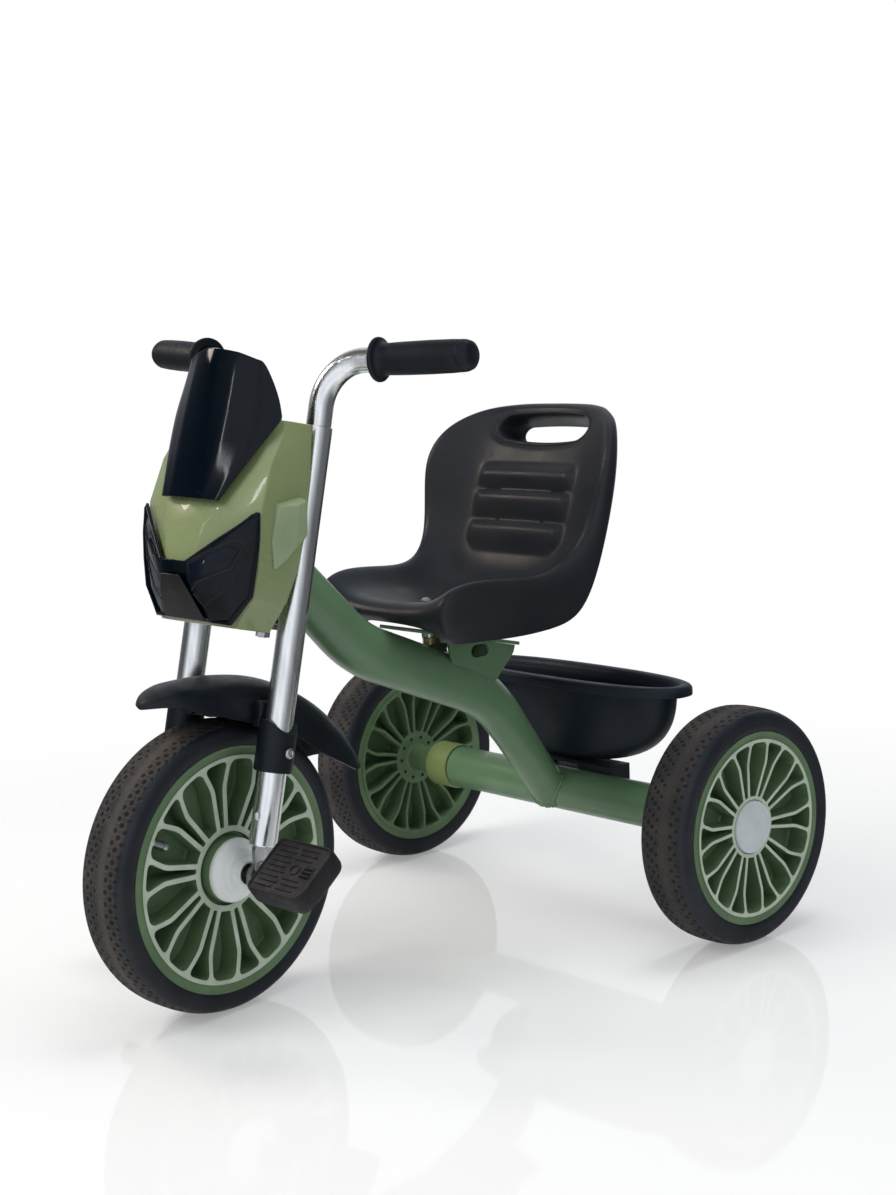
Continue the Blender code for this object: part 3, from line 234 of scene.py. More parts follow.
TREAD = tread_finish()
DULL, BLACK = 0.25, 0.3
SIDEWALL = moulded("tyre_sidewall", (26, 30, 37), (36, 39, 46), (0.38, 0.56), (1000, 0.1), 30, specular=BLACK)
RIM_GREEN = moulded("rim_green", (86, 111, 78), (101, 127, 92), (0.4, 0.56), (700, 0.1), 26)
RIM_PALE = moulded("rim_pale", (172, 187, 166), (194, 206, 187), (0.4, 0.6), (800, 0.14), 60)
HUB_WHITE = moulded("hub_white", (240, 243, 245), (250, 251, 251), (0.34, 0.5), (600, 0.07), 40)
CAP_GREY = moulded("cap_grey", (194, 200, 204), (210, 215, 218), (0.36, 0.5), (600, 0.07), 40)
FRAME_GREEN = moulded("frame_green", (89, 120, 88), (103, 135, 100), (0.28, 0.42), (500, 0.07), 14, 0.3)
FAIRING = moulded("fairing_green", (127, 140, 96), (137, 150, 104), (0.22, 0.34), (350, 0.04), 12, 0.5)
# A paler copy of the fairing green for the side fins: a painted highlight for the light the fins catch.
FIN_PAINTED_HIGHLIGHT = moulded("fin_green_painted_highlight", (140, 157, 120), (149, 166, 129), (0.22, 0.34), (350, 0.04), 12, 0.5)
BUSH_GREEN = moulded("bush_green", (108, 124, 74), (120, 136, 84), (0.4, 0.55), (600, 0.1), 30)
SCREEN = moulded("screen_black", (1, 8, 17), (3, 12, 23), (0.05, 0.12), (260, 0.015), 18, 0.0, 0.06, 0.2)
NOSE = moulded("nose_brown", (21, 17, 19), (31, 25, 26), (0.24, 0.36), (500, 0.06), 30, specular=BLACK)
GUARD = moulded("guard_black", (12, 18, 25), (20, 27, 34), (0.34, 0.48), (800, 0.1), 24, specular=DULL)
SEAT = moulded("seat_black", (24, 29, 37), (38, 39, 42), (0.34, 0.46), (750, 0.16), 9, specular=0.27)
BASKET = moulded("basket_black", (25, 33, 43), (33, 41, 51), (0.38, 0.54), (750, 0.16), 14, specular=DULL)
PEDAL = moulded("pedal_black", (26, 26, 29), (40, 39, 41), (0.45, 0.65), (900, 0.2), 60, specular=BLACK)
GRIP = moulded("grip_rubber", (7, 14, 21), (15, 22, 30), (0.42, 0.6), (900, 0.16), 50, specular=BLACK)
LENS = moulded("lamp_lens", (3, 11, 24), (7, 17, 33), (0.04, 0.08), (300, 0.01), 40, specular=0.2)
# Near black for the plate in each pedal slot: painted shade where the opening lies.
SLOT_PAINTED_SHADE = moulded("pedal_slot_painted_shade", (6, 7, 8), (12, 12, 13), (0.6, 0.8), specular=DULL)
CHROME = metal("leg_chrome", (0.76, 0.77, 0.78), (0.93, 0.94, 0.95), (0.16, 0.30), (20, 20, 1.2), 8, 0.006)
STEEL = metal("plain_steel", (0.42, 0.43, 0.45), (0.68, 0.69, 0.70), (0.22, 0.42), scale=90)
ZINC = metal("yellow_zinc", (0.42, 0.35, 0.14), (0.60, 0.52, 0.24), (0.28, 0.45), scale=120)


# Mesh helpers


def add_object(name, data):
    made = bpy.data.objects.new(name, data)
    bpy.context.scene.collection.objects.link(made)
    return made


def from_bmesh(name, bm):
    data = bpy.data.meshes.new(name)
    bm.to_mesh(data)
    bm.free()
    return data


def shaded(data, angle):
    data.shade_smooth()
    data.set_sharp_from_angle(angle=math.radians(angle))
    return data


def tidy(data, angle=30.0):
    """Merges doubled points, turns the faces outward and shades smooth up to the angle."""
    bm = bmesh.new()
    bm.from_mesh(data)
    bmesh.ops.remove_doubles(bm, verts=bm.verts, dist=1e-6)
    bmesh.ops.recalc_face_normals(bm, faces=bm.faces)
    bm.to_mesh(data)
    bm.free()
    return shaded(data, angle)


def mesh_of(name, verts, faces, slots=None, angle=30.0):
    data = bpy.data.meshes.new(name)
    data.from_pydata([tuple(v) for v in verts], [], faces)
    if slots:
        data.polygons.foreach_set("material_index", slots)
    return tidy(data, angle)


def piece(name, data, finishes, place, body, slot, *nodes):
    """A piece of the visual model that rides on a body and stands for the CAD nodes."""
    data.transform(place)
    made = add_object(name, data)
    for finish in finishes if isinstance(finishes, tuple) else (finishes,):
        data.materials.append(finish)
    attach(made, body)
    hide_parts(*nodes)


def mirror(side):
    """The left side as it is, or its mirror image for the right side."""
    return Matrix.Scale(side, 4, (1, 0, 0))


def half_turn(side, axis="Z"):
    """No turn for the left side, half a turn for the right side."""
    return Matrix.Rotation(0.0 if side > 0 else math.pi, 4, axis)


def circle(steps):
    """The (cosine, sine) pairs of even steps round a circle."""
    turns = [2 * math.pi * k / steps for k in range(steps)]
    return [(math.cos(turn), math.sin(turn)) for turn in turns]


def end_faces(total, count):
    """Flat faces on the first and the last row of a grid of points."""
    return [tuple(range(count)), tuple(range(total - count, total))]


def rounded(line, radius, steps=3, closed=False):
    """A line of points whose corners are softened by short curves."""
    points = [Vector(p) for p in line]
    count = len(points)
    out = []
    for i, p in enumerate(points):
        if not closed and i in (0, count - 1):
            out.append(p)
            continue
        a, b = points[i - 1] - p, points[(i + 1) % count] - p
        if a.angle(b) > math.radians(172):
            out.append(p)
            continue
        reach = min(radius, 0.46 * a.length, 0.46 * b.length)
        first, last = p + a.normalized() * reach, p + b.normalized() * reach
        for k in range(steps + 1):
            t = k / steps
            out.append(first * (1 - t) ** 2 + p * 2 * t * (1 - t) + last * t * t)
    return [tuple(p) for p in out]


def arc_path(corners, radius, steps):
    """Straight runs with a true arc of the given radius at each inner corner."""
    corners = [Vector(c) for c in corners]
    path = [corners[0]]
    for before, corner, after in zip(corners, corners[1:], corners[2:]):
        back, ahead = (before - corner).normalized(), (after - corner).normalized()
        half = back.angle(ahead) / 2
        reach = radius / math.tan(half)
        centre = corner + (back + ahead).normalized() * radius / math.sin(half)
        first, last = corner + back * reach - centre, corner + ahead * reach - centre
        path += [centre + first.slerp(last, i / steps) * radius for i in range(steps + 1)]
    return path + [corners[-1]]


def grid_faces(rows, width, closed_rows=False, closed_columns=False):
    faces = []
    for i in range(rows if closed_columns else rows - 1):
        for j in range(width if closed_rows else width - 1):
            i2, j2 = (i + 1) % rows, (j + 1) % width
            faces.append((i * width + j, i * width + j2, i2 * width + j2, i2 * width + j))
    return faces


def lathe(name, profile, steps=96, closed=False, soft=0.0006, slot_of=None):
    """A (radius, height) profile turned round X, its height along +X. slot_of gives a face's slot."""
    if soft:
        profile = rounded(profile, soft, closed=closed)
    count = len(profile)
    verts = [(h, r * s, -r * c) for c, s in circle(steps) for r, h in profile]
    faces = grid_faces(steps, count, closed_rows=closed, closed_columns=True)
    slots = None
    if slot_of:
        pairs = zip(profile, profile[1:] + profile[:1])
        middles = [((r0 + r1) / 2, (h0 + h1) / 2) for (r0, h0), (r1, h1) in pairs]
        slots = [slot_of(*middles[face[0] % count]) for face in faces]
    return mesh_of(name, verts, faces, slots)


def along(start, direction):
    """A frame at start whose X axis is the direction."""
    turn = Vector(direction).to_track_quat("X", "Z").to_matrix().to_4x4()
    return Matrix.Translation(start) @ turn


def turned_piece(name, profile, steps, soft, *rest):
    piece(name, lathe(name, profile, steps, soft=soft), *rest)


def sweep(name, path, radius, sides):
    """A round bar along a path, with flat ends."""
    path = [Vector(p) for p in path]
    normal = (path[1] - path[0]).orthogonal().normalized()
    verts = []
    for i, p in enumerate(path):
        ahead = (path[min(i + 1, len(path) - 1)] - path[max(i - 1, 0)]).normalized()
        normal = (normal - ahead * normal.dot(ahead)).normalized()
        side = ahead.cross(normal)
        verts += [p + (normal * c + side * s) * radius for c, s in circle(sides)]
    faces = grid_faces(len(path), sides, closed_rows=True) + end_faces(len(verts), sides)
    return mesh_of(name, verts, faces, None, 35)


def join(name, parts, angle=30.0):
    """Meshes put together as one, each given with its frame and its slot, or None to keep its own slots."""
    bm = bmesh.new()
    for data, place, slot in parts:
        before = len(bm.faces)
        copy = data.copy()
        copy.transform(place)
        bm.from_mesh(copy)
        bpy.data.meshes.remove(copy)
        bm.faces.ensure_lookup_table()
        if slot is not None:
            for face in bm.faces[before:]:
                face.material_index = slot
    return shaded(from_bmesh(name, bm), angle)


def softened(name, bm, edges, soft, segments):
    bmesh.ops.bevel(bm, geom=edges, offset=soft, segments=segments, affect="EDGES", profile=0.5)
    return tidy(from_bmesh(name, bm))


def skin(name, rows, inside):
    """A surface through rows of points, open at its ends, whose faces look away from the inside point."""
    rows = [mirrored(row) for row in rows]
    verts = [p for row in rows for p in row]
    return facing_out(name, verts, grid_faces(len(rows), len(rows[0])), inside), len(rows), len(rows[0])


def block(name, low, high, soft, segments):
    """A box between two corners, with soft edges."""
    (x0, y0, z0), (x1, y1, z1) = low, high
    ring = ((x0, y0), (x1, y0), (x1, y1), (x0, y1))
    bm = bmesh.new()
    v = [bm.verts.new((x, y, z)) for z in (z0, z1) for x, y in ring]
    for face in ((0, 1, 2, 3), (4, 5, 6, 7), (0, 1, 5, 4), (1, 2, 6, 5), (2, 3, 7, 6), (3, 0, 4, 7)):
        bm.faces.new([v[i] for i in face])
    bmesh.ops.recalc_face_normals(bm, faces=bm.faces)
    return softened(name, bm, bm.edges[:], soft, segments)


def prism(name, outline, depth, soft):
    """A flat outline in XY given a depth about z = 0, with soft edges."""
    bm = bmesh.new()
    face = bm.faces.new([bm.verts.new((x, y, -depth / 2)) for x, y in outline])
    lifted = bmesh.ops.extrude_face_region(bm, geom=[face])
    top = [item for item in lifted["geom"] if isinstance(item, bmesh.types.BMVert)]
    bmesh.ops.translate(bm, verts=top, vec=(0.0, 0.0, depth))
    bmesh.ops.recalc_face_normals(bm, faces=bm.faces)
    sharp = [e for e in bm.edges if e.calc_face_angle(0.0) > math.radians(50)]
    return softened(name, bm, sharp, soft, 2)


def evaluated(name, data, *changes):
    """The mesh after modifiers, each given as (kind, {setting: value})."""
    holder = add_object(name + "_holder", data)
    for kind, settings in changes:
        change = holder.modifiers.new(kind.lower(), kind)
        for key, value in settings.items():
            setattr(change, key, value)
    graph = bpy.context.evaluated_depsgraph_get()
    graph.update()
    made = bpy.data.meshes.new_from_object(holder.evaluated_get(graph))
    made.name = name
    bpy.data.objects.remove(holder, do_unlink=True)
    return made


def facing_out(name, verts, faces, inside):
    """An open surface whose faces look away from the inside point."""
    data = mesh_of(name, verts, faces, None, 180.0)
    face = max(data.polygons, key=lambda f: f.area)
    if face.normal.dot(face.center - Vector(inside)) < 0:
        data.flip_normals()
    return data


def mirrored(row):
    return [Vector(p) for p in row] + [Vector((-p[0], p[1], p[2])) for p in reversed(row[:-1])]


def wall(thickness, even=True):
    return ("SOLIDIFY", {"thickness": thickness, "offset": -1.0, "use_even_offset": even})


def smoother(levels):
    return ("SUBSURF", {"levels": levels, "render_levels": levels})


def soft_edges(width, segments=3, angle=20.0):
    settings = {"width": width, "segments": segments, "limit_method": "ANGLE", "harden_normals": True}
    return ("BEVEL", settings | {"angle_limit": math.radians(angle), "use_clamp_overlap": True})


# The tyres


def tyre_profile(radius, width, rim):
    """The outer line from one rim edge over the tread to the other, as (radius, x) at even steps."""
    half = width / 2
    radius -= 0.00025
    side = [
        (rim - 0.001, half - 0.0022), (rim + 0.0035, half - 0.0004), (0.93 * radius, half - 0.0001),
        (0.968 * radius, 0.90 * half), (0.990 * radius, 0.66 * half), (0.999 * radius, 0.30 * half),
    ]
    line = side + [(radius, 0.0)] + [(r, -x) for r, x in reversed(side)]
    line = np.array(rounded(rounded(line, 0.02, 4), 0.003, 2))
    lengths = np.concatenate([[0], np.cumsum(np.hypot(*np.diff(line, axis=0).T))])
    steps = int(lengths[-1] / 0.00085)
    at = np.linspace(0, lengths[-1], steps)
    even = np.stack([np.interp(at, lengths, line[:, 0]), np.interp(at, lengths, line[:, 1])], 1)
    return even, at - lengths[-1] / 2


def tyre(name, radius, width, rim, rows, place, body, node, dusty, steps=720):
    """A tyre with rows of dimples: (distance across, count, phase, size, depth) from the outer side."""
    profile, across = tyre_profile(radius, width, rim)
    turn = np.linspace(0, 2 * np.pi, steps, endpoint=False)
    tangent = np.gradient(profile, axis=0)
    normal = np.stack([tangent[:, 1], -tangent[:, 0]], 1)
    normal /= np.linalg.norm(normal, axis=1)[:, None]
    normal *= np.where((normal[:, 0] + normal[:, 1] * np.sign(profile[:, 1])) < 0, -1, 1)[:, None]
    lift = np.zeros((steps, len(profile)))
    ring, painted_dimple_shade = np.zeros_like(lift), np.zeros_like(lift)
    for offset, count, phase, size, depth in rows:
        pitch = 2 * np.pi / count
        around = ((turn / pitch - phase + 0.5) % 1.0 - 0.5) * pitch * radius
        q = np.hypot(around[:, None], (across - offset)[None, :]) / size
        lift -= depth * np.clip(1.25 - q**2.5, 0, 1)
        lift += 0.00010 * np.exp(-(((q - 1.25) / 0.22) ** 2))
        ring = np.maximum(ring, np.exp(-(((q - 1.35) / 0.25) ** 2)))
        # Painted shade: darkening that grows towards the middle of each dimple.
        painted_dimple_shade = np.maximum(painted_dimple_shade, np.clip(3.2 * (1.02 - q), 0, 0.68))
    r = profile[None, :, 0] + lift * normal[None, :, 0]
    x = profile[None, :, 1] + lift * normal[None, :, 1]
    s, c = np.sin(turn)[:, None], np.cos(turn)[:, None]
    verts = np.stack([x + 0 * s, r * s, -r * c], 2).reshape(-1, 3)
    width_count = len(profile)
    faces = grid_faces(steps, width_count, closed_columns=True)
    limit = 0.60 * width / 2
    tread = np.abs(profile[:, 1]) < limit + 0.004
    slots = [0 if tread[f[0] % width_count] else 1 for f in faces]
    data = bpy.data.meshes.new(name)
    data.from_pydata(verts.tolist(), [], faces)
    data.polygons.foreach_set("material_index", slots)
    bare = np.exp(-(((across + 0.004) / 0.0055) ** 2)) * 0.55
    dust = np.clip((ring * 0.45 + bare[None, :] + 0.08) * dusty, 0, 1)
    for word, values in (("dust", dust), ("painted_dimple_shade", painted_dimple_shade)):
        layer = data.attributes.new(word, "FLOAT", "POINT")
        layer.data.foreach_set("value", values.reshape(-1).astype(np.float32))
    data.flip_normals()
    data.shade_smooth()
    piece(name, data, (TREAD, SIDEWALL), place, body, "tyre_rubber", node)


def tyres():
    front = [
        (0.0172, 78, 0.0, 0.0017, 0.0010), (0.0120, 78, 0.5, 0.0021, 0.0012),
        (0.0072, 78, 0.0, 0.0020, 0.0011), (0.0024, 39, 0.3, 0.0015, 0.0009),
        (-0.0090, 78, 0.5, 0.0021, 0.0012), (-0.0138, 78, 0.0, 0.0022, 0.0012),
        (-0.0184, 78, 0.5, 0.0017, 0.0010),
    ]
    sizes = (FRONT_TYRE_R, FRONT_TYRE_W, FRONT_RIM_R)
    tyre("front_tyre_tread", *sizes, front, WHEEL, "front_wheel", "front_tyre", 1.0)
    rear = [
        (0.0168, 66, 0.0, 0.0018, 0.0010), (0.0122, 66, 0.33, 0.0021, 0.0012),
        (0.0076, 66, 0.66, 0.0021, 0.0012), (0.0030, 66, 0.0, 0.0018, 0.0011),
        (-0.0116, 66, 0.2, 0.0020, 0.0012), (-0.0162, 66, 0.7, 0.0017, 0.0010),
    ]
    sizes = (REAR_TYRE_R, REAR_TYRE_W, REAR_RIM_R)
    for side, word in SIDES:
        name = f"rear_{word}_tyre"
        tyre(name + "_tread", *sizes, rear, rear_frame(side), f"rear_{word}_wheel", name, 0.45)


# The rims


class Spokes:
    """Twenty spokes in ten pairs. Between the two of a pair is a fan, and between pairs is a leaf."""

    def __init__(self, pockets, edges, line, width, corner, face, phase):
        self.inner, self.outer = pockets
        self.low_edge, self.high_edge = edges
        self.line = line
        self.width = width
        self.corner = corner
        self.face = face
        self.phase = math.radians(phase)

    def half(self, leaf, radius):
        """Half the angle from the middle of a pocket to its spoke's middle line."""
        radii, angles = zip(*self.line)
        angle = math.radians(float(np.interp(radius, radii, angles)))
        return math.radians(18) - angle if leaf else angle

    def level(self, radius):
        (r0, x0), (r1, x1) = self.face
        return x0 + (x1 - x0) * (radius - r0) / (r1 - r0)

    def outline(self, leaf, inset):
        """Pairs (point, edge point) round a pocket, each point as (radius, angle from its middle)."""
        low, high = self.inner + inset, self.outer - inset
        small, large = (max(corner - inset, 0.0003) for corner in self.corner)
        start, stop = self.inner + self.corner[0], self.outer - self.corner[1]
        corner_steps, side_steps, arc_steps = 4, 14, 3
        side = []

        def lateral(radius):
            return radius * self.half(leaf, radius) - self.width / 2 - inset

        def add(radius, reach, r, share=1.0):
            side.append(((radius, reach / radius), (r, self.half(leaf, r) * share)))

        for k in range(arc_steps):
            add(low, (lateral(low) - small) * k / arc_steps, self.low_edge, 0.6 * k / arc_steps)
        for k in range(corner_steps + 1):
            t = k / corner_steps
            radius = low + small * (1 - math.cos(t * math.pi / 2))
            reach = lateral(radius) - small * (1 - math.sin(t * math.pi / 2))
            r = self.low_edge + (start - self.low_edge) * max(t - 0.5, 0.0) / 0.5
            add(radius, reach, r, 0.6 + 0.4 * min(t, 0.5) / 0.5)
        for k in range(1, side_steps):
            radius = start + (stop - start) * k / side_steps
            add(radius, lateral(radius), radius)
        for k in range(corner_steps + 1):
            t = k / corner_steps
            radius = high - large + large * math.sin(t * math.pi / 2)
            reach = lateral(radius) - large * (1 - math.cos(t * math.pi / 2))
            r = stop + (self.high_edge - stop) * min(t, 0.5) / 0.5
            add(radius, reach, r, 1 - 0.4 * max(t - 0.5, 0.0) / 0.5)
        for k in range(1, arc_steps):
            t = 1 - k / arc_steps
            add(high, (lateral(high) - large) * t, self.high_edge, 0.6 * t)
        top = ((high, 0.0), (self.high_edge, 0.0))
        other = [((p[0], -p[1]), (e[0], -e[1])) for p, e in side[1:]]
        return side + [top] + other[::-1]


def spoked(name, spokes, side, pale):
    """The spoked face on one side of the web. Its raised edges get the pale slot."""
    verts, faces, slots = [], [], []
    layers = ((-0.0003, 0.0), (0.0, -0.0004), (0.0007, None), (0.0019, 0.0))
    for k in range(20):
        leaf = k % 2 == 1
        middle = spokes.phase + math.radians(18) * k
        rows = [[(r, a, spokes.level(r)) for _, (r, a) in spokes.outline(leaf, 0.0)]]
        for number, (inset, drop) in enumerate(layers):
            line = [p for p, _ in spokes.outline(leaf, inset)]
            if number < 2:
                rows.append([(r, a, spokes.level(r) + drop) for r, a in line])
            else:
                rows.append([(r, a, WEB_HALF + (0.0014 if drop is None else 0.0)) for r, a in line])
        width, base = len(rows[0]), len(verts)
        verts += [
            (side * x, r * math.cos(middle + a), r * math.sin(middle + a)) for row in rows for r, a, x in row
        ]
        for i in range(len(rows) - 1):
            low, high = base + i * width, base + (i + 1) * width
            for j in range(width):
                j2 = (j + 1) % width
                faces.append([low + j, low + j2, high + j2, high + j])
                slots.append(pale if i < 2 else 0)
        last = base + (len(rows) - 1) * width
        faces.append(list(range(last, last + width)))
        slots.append(0)
    return mesh_of(name, verts, faces, slots)


def front_rim():
    spokes = Spokes(
        (0.0338, 0.0868),
        (0.0312, 0.0898),
        ((0.030, 6.9), (0.034, 6.5), (0.050, 5.6), (0.064, 5.1), (0.068, 5.4), (0.0875, 9.4), (0.092, 10)),
        0.0041,
        (0.0010, 0.0048),
        ((0.031, 0.0176), (0.0903, 0.0232)),
        4.0,
    )
    half = FRONT_TYRE_W / 2
    edge = spokes.level(0.0312)
    rim = spokes.level(0.0898)
    hub = [(0.0312, edge), (0.0291, edge - 0.0002), (0.0288, edge - 0.0050), (0.0263, edge - 0.0050)]
    hub += [(0.0258, edge - 0.0030), (0.0256, edge + 0.0045), (0.0246, edge + 0.0050)]
    hub.append((0.0240, edge + 0.0020))
    band = [(0.0898, rim), (0.0901, rim - 0.0001), (0.0904, rim - 0.0011), (0.0950, rim - 0.0006)]
    band += [(0.0972, half - 0.0012), (0.0978, half - 0.0030)]

    def pale_hub(r, x):
        return 1 if r > 0.0289 and x > edge - 0.0006 else 0

    parts = []
    for side in (1, -1):
        parts.append((spoked("front_spokes", spokes, side, 1), HERE, None))
        ring = lathe("front_band", band, 160, soft=0.0002, slot_of=lambda r, x: 1 if r < 0.0902 else 0)
        centre = lathe("front_hub", hub, 160, soft=0.0003, slot_of=pale_hub)
        parts += [(ring, mirror(side), None), (centre, mirror(side), None)]
    barrel = [(0.0978, half - 0.003), (0.0978, -half + 0.003)]
    parts.append((lathe("front_barrel", barrel, 160, soft=0), HERE, 0))
    data = join("front_rim_spoked", parts, 32)
    piece("front_rim_spoked", data, (RIM_GREEN, RIM_PALE), WHEEL, "front_wheel", "rim_green", "front_rim")
    hub_cups()
    valve(math.radians(166.0))


def hub_cups():
    cup = [
        (0.0, 0.0300), (0.0056, 0.0300), (0.0058, 0.0395), (0.0092, 0.0398), (0.0100, 0.0370),
        (0.0104, 0.0345), (0.0150, 0.0338), (0.0172, 0.0318), (0.0180, 0.0296), (0.0215, 0.0284),
        (0.0240, 0.0274), (0.0252, 0.0256), (0.0254, 0.0236), (0.0252, 0.0226), (0.0240, 0.0224),
    ]
    dark = [(0.0052, 0.0394), (0.0080, 0.0396), (0.0084, 0.0408), (0.0052, 0.0408)]
    for side, name in ((1, "left_hub_cup"), (-1, "right_hub_cup")):
        turn = mirror(side)
        parts = [
            (lathe("cup", cup, 128, soft=0.0005), turn, 0),
            (lathe("cup_seal", dark, 64, closed=True, soft=0.0002), turn, 1),
        ]
        data = join(name + "_stepped", parts, 35)
        piece(name + "_stepped", data, (HUB_WHITE, GUARD), WHEEL, "front_wheel", "hub_white", name)


def valve(angle):
    """The valve in a leaf pocket: a dark rubber foot, a threaded steel stem and a cap."""
    out = Vector((0.0, math.cos(angle), math.sin(angle)))
    start = Vector((WEB_HALF + 0.0095, 0.0, 0.0)) + out * 0.0868
    foot = [(0.0, 0.0), (0.0042, 0.0), (0.0040, 0.0030), (0.0030, 0.0046), (0.0, 0.0048)]
    stem = [(0.0, 0.0040), (0.0029, 0.0044), (0.0029, 0.0062), (0.0024, 0.0066)]
    for k in range(8):
        at = 0.0068 + k * 0.0008
        stem += [(0.0022, at + 0.0001), (0.0027, at + 0.0004)]
    stem += [(0.0024, 0.0134), (0.0031, 0.0138), (0.0031, 0.0166), (0.0022, 0.0174), (0.0, 0.0175)]
    parts = [
        (lathe("valve_foot", foot, 32, soft=0.0003), HERE, 0),
        (lathe("valve_stem", stem, 32, soft=0), HERE, 1),
    ]
    data = join("front_valve_threaded", parts, 35)
    place = WHEEL @ along(start, -out) @ Matrix.Scale(1.3, 4)
    piece("front_valve_threaded", data, (GUARD, STEEL), place, "front_wheel", "yellow_zinc", "front_valve")


def rear_rim(side, word):
    spokes = Spokes(
        (0.0260, 0.0718),
        (0.0243, 0.0738),
        ((0.022, 7.2), (0.030, 6.7), (0.042, 6.1), (0.0535, 5.7), (0.0565, 6.0), (0.0725, 9.4), (0.076, 10)),
        0.0028,
        (0.0006, 0.0034),
        ((0.0245, 0.0165), (0.0745, 0.0222)),
        31.5 if side > 0 else 8.0,
    )
    half = REAR_TYRE_W / 2
    edge, rim = spokes.level(0.0243), spokes.level(0.0738)
    hub = [(0.0243, edge), (0.0230, edge), (0.0228, 0.0030), (0.0, 0.0030)]
    band = [(0.0738, rim), (0.0746, rim), (0.0749, rim - 0.0012), (0.0790, rim - 0.0006)]
    band += [(0.0806, half - 0.0010), (0.0813, half - 0.0026)]
    barrel = [band[-1], (0.0813, -half + 0.0026)]
    parts = [
        (spoked("rear_spokes", spokes, 1, 1), HERE, None),
        (spoked("rear_spokes_back", spokes, -1, 0), HERE, None),
        (lathe("rear_hub", hub, 96, soft=0.0003, slot_of=lambda r, x: 1 if r > 0.0229 else 0), HERE, None),
        (lathe("rear_band", band, 144, soft=0.0002, slot_of=lambda r, x: 1 if r < 0.0747 else 0), HERE, None),
        (lathe("rear_band_back", band, 144, soft=0.0002), mirror(-1), 0),
        (lathe("rear_barrel", barrel, 144, soft=0), HERE, 0),
        (rear_boss(edge), HERE, 0),
    ]
    name = f"rear_{word}_rim"
    body = f"rear_{word}_wheel"
    data = join(name + "_spoked", parts, 32)
    piece(name + "_spoked", data, (RIM_GREEN, RIM_PALE), rear_frame(side), body, "rim_green", name)
    cap = [
        (0.0, HUB_CAP_FACE + 0.0012), (0.0150, HUB_CAP_FACE + 0.0006), (0.0188, HUB_CAP_FACE + 0.0002),
        (0.0194, HUB_CAP_FACE + 0.0014), (0.0212, HUB_CAP_FACE + 0.0016),
        (0.0222, HUB_CAP_FACE + 0.0002), (0.0224, 0.0100), (0.0, 0.0100),
    ]
    nodes = (f"rear_{word}_hub_cap", f"rear_{word}_axle_nut")
    name = nodes[0] + "_rimmed"
    turned_piece(name, cap, 96, 0.0005, CAP_GREY, rear_frame(side), body, "cap_grey", *nodes)


def rear_boss(edge):
    """The inner hub: a flange with a ring of small holes round the boss that meets the axle tube."""
    end = -(REAR_WHEEL_X - BUSH_END - 0.0003)
    face = -edge - 0.0004
    line = [(0.0, -0.010), (0.0245, -0.010), (0.0245, -edge), (0.0232, face), (0.0150, face)]
    line += [(0.0130, -edge - 0.0024), (0.0124, end), (0.0054, end), (0.0, end + 0.001)]
    data = lathe("boss", line, 96, soft=0.0005)
    hole_r, hole_depth, ring_r = 0.0018, 0.0080, 0.0200
    cup = [(0.0, 0.0), (hole_r, 0.0), (hole_r, hole_depth), (0.0, hole_depth)]
    holes = []
    for k in range(10):
        turn = math.radians(36) * k
        centre = (-edge - 0.004, ring_r * math.cos(turn), ring_r * math.sin(turn))
        holes.append((lathe("hole", cup, 20, soft=0), Matrix.Translation(centre), 0))
    cutter = add_object("boss_holes", join("boss_holes", holes))
    data = evaluated("boss_cut", data, ("BOOLEAN", {"object": cutter, "solver": "EXACT"}))
    bpy.data.objects.remove(cutter, do_unlink=True)
    return data


# The crank and pedals


def crank():
    tip = PEDAL_X + PEDAL_SIZE[0] / 2 - 0.004
    low, high = CRANK_ARM_X
    corners = [
        Vector((-tip, 0, 0)) - PIN,
        Vector((-high, 0, 0)) - PIN,
        (-low, 0, 0),
        (low, 0, 0),
        Vector((high, 0, 0)) + PIN,
        Vector((tip, 0, 0)) + PIN,
    ]
    data = sweep("crank_bent_rod", arc_path(corners, 0.009, 10), AXLE_R, 28)
    piece("crank_bent_rod", data, STEEL, WHEEL, "front_wheel", "plain_steel", "crank_axle")


def pedal_outline(inset):
    """The pedal seen from above: its outer end is chamfered and its near corner well rounded."""
    length, width, _ = PEDAL_SIZE
    a, b = length / 2 - inset, width / 2 - inset
    corners = [(-a, -b), (a - 0.004, -b), (a, -b + 0.010), (a, b - 0.006), (a - 0.004, b), (-a, b)]
    return rounded(corners, 0.0065 - inset * 0.5, 5, closed=True)


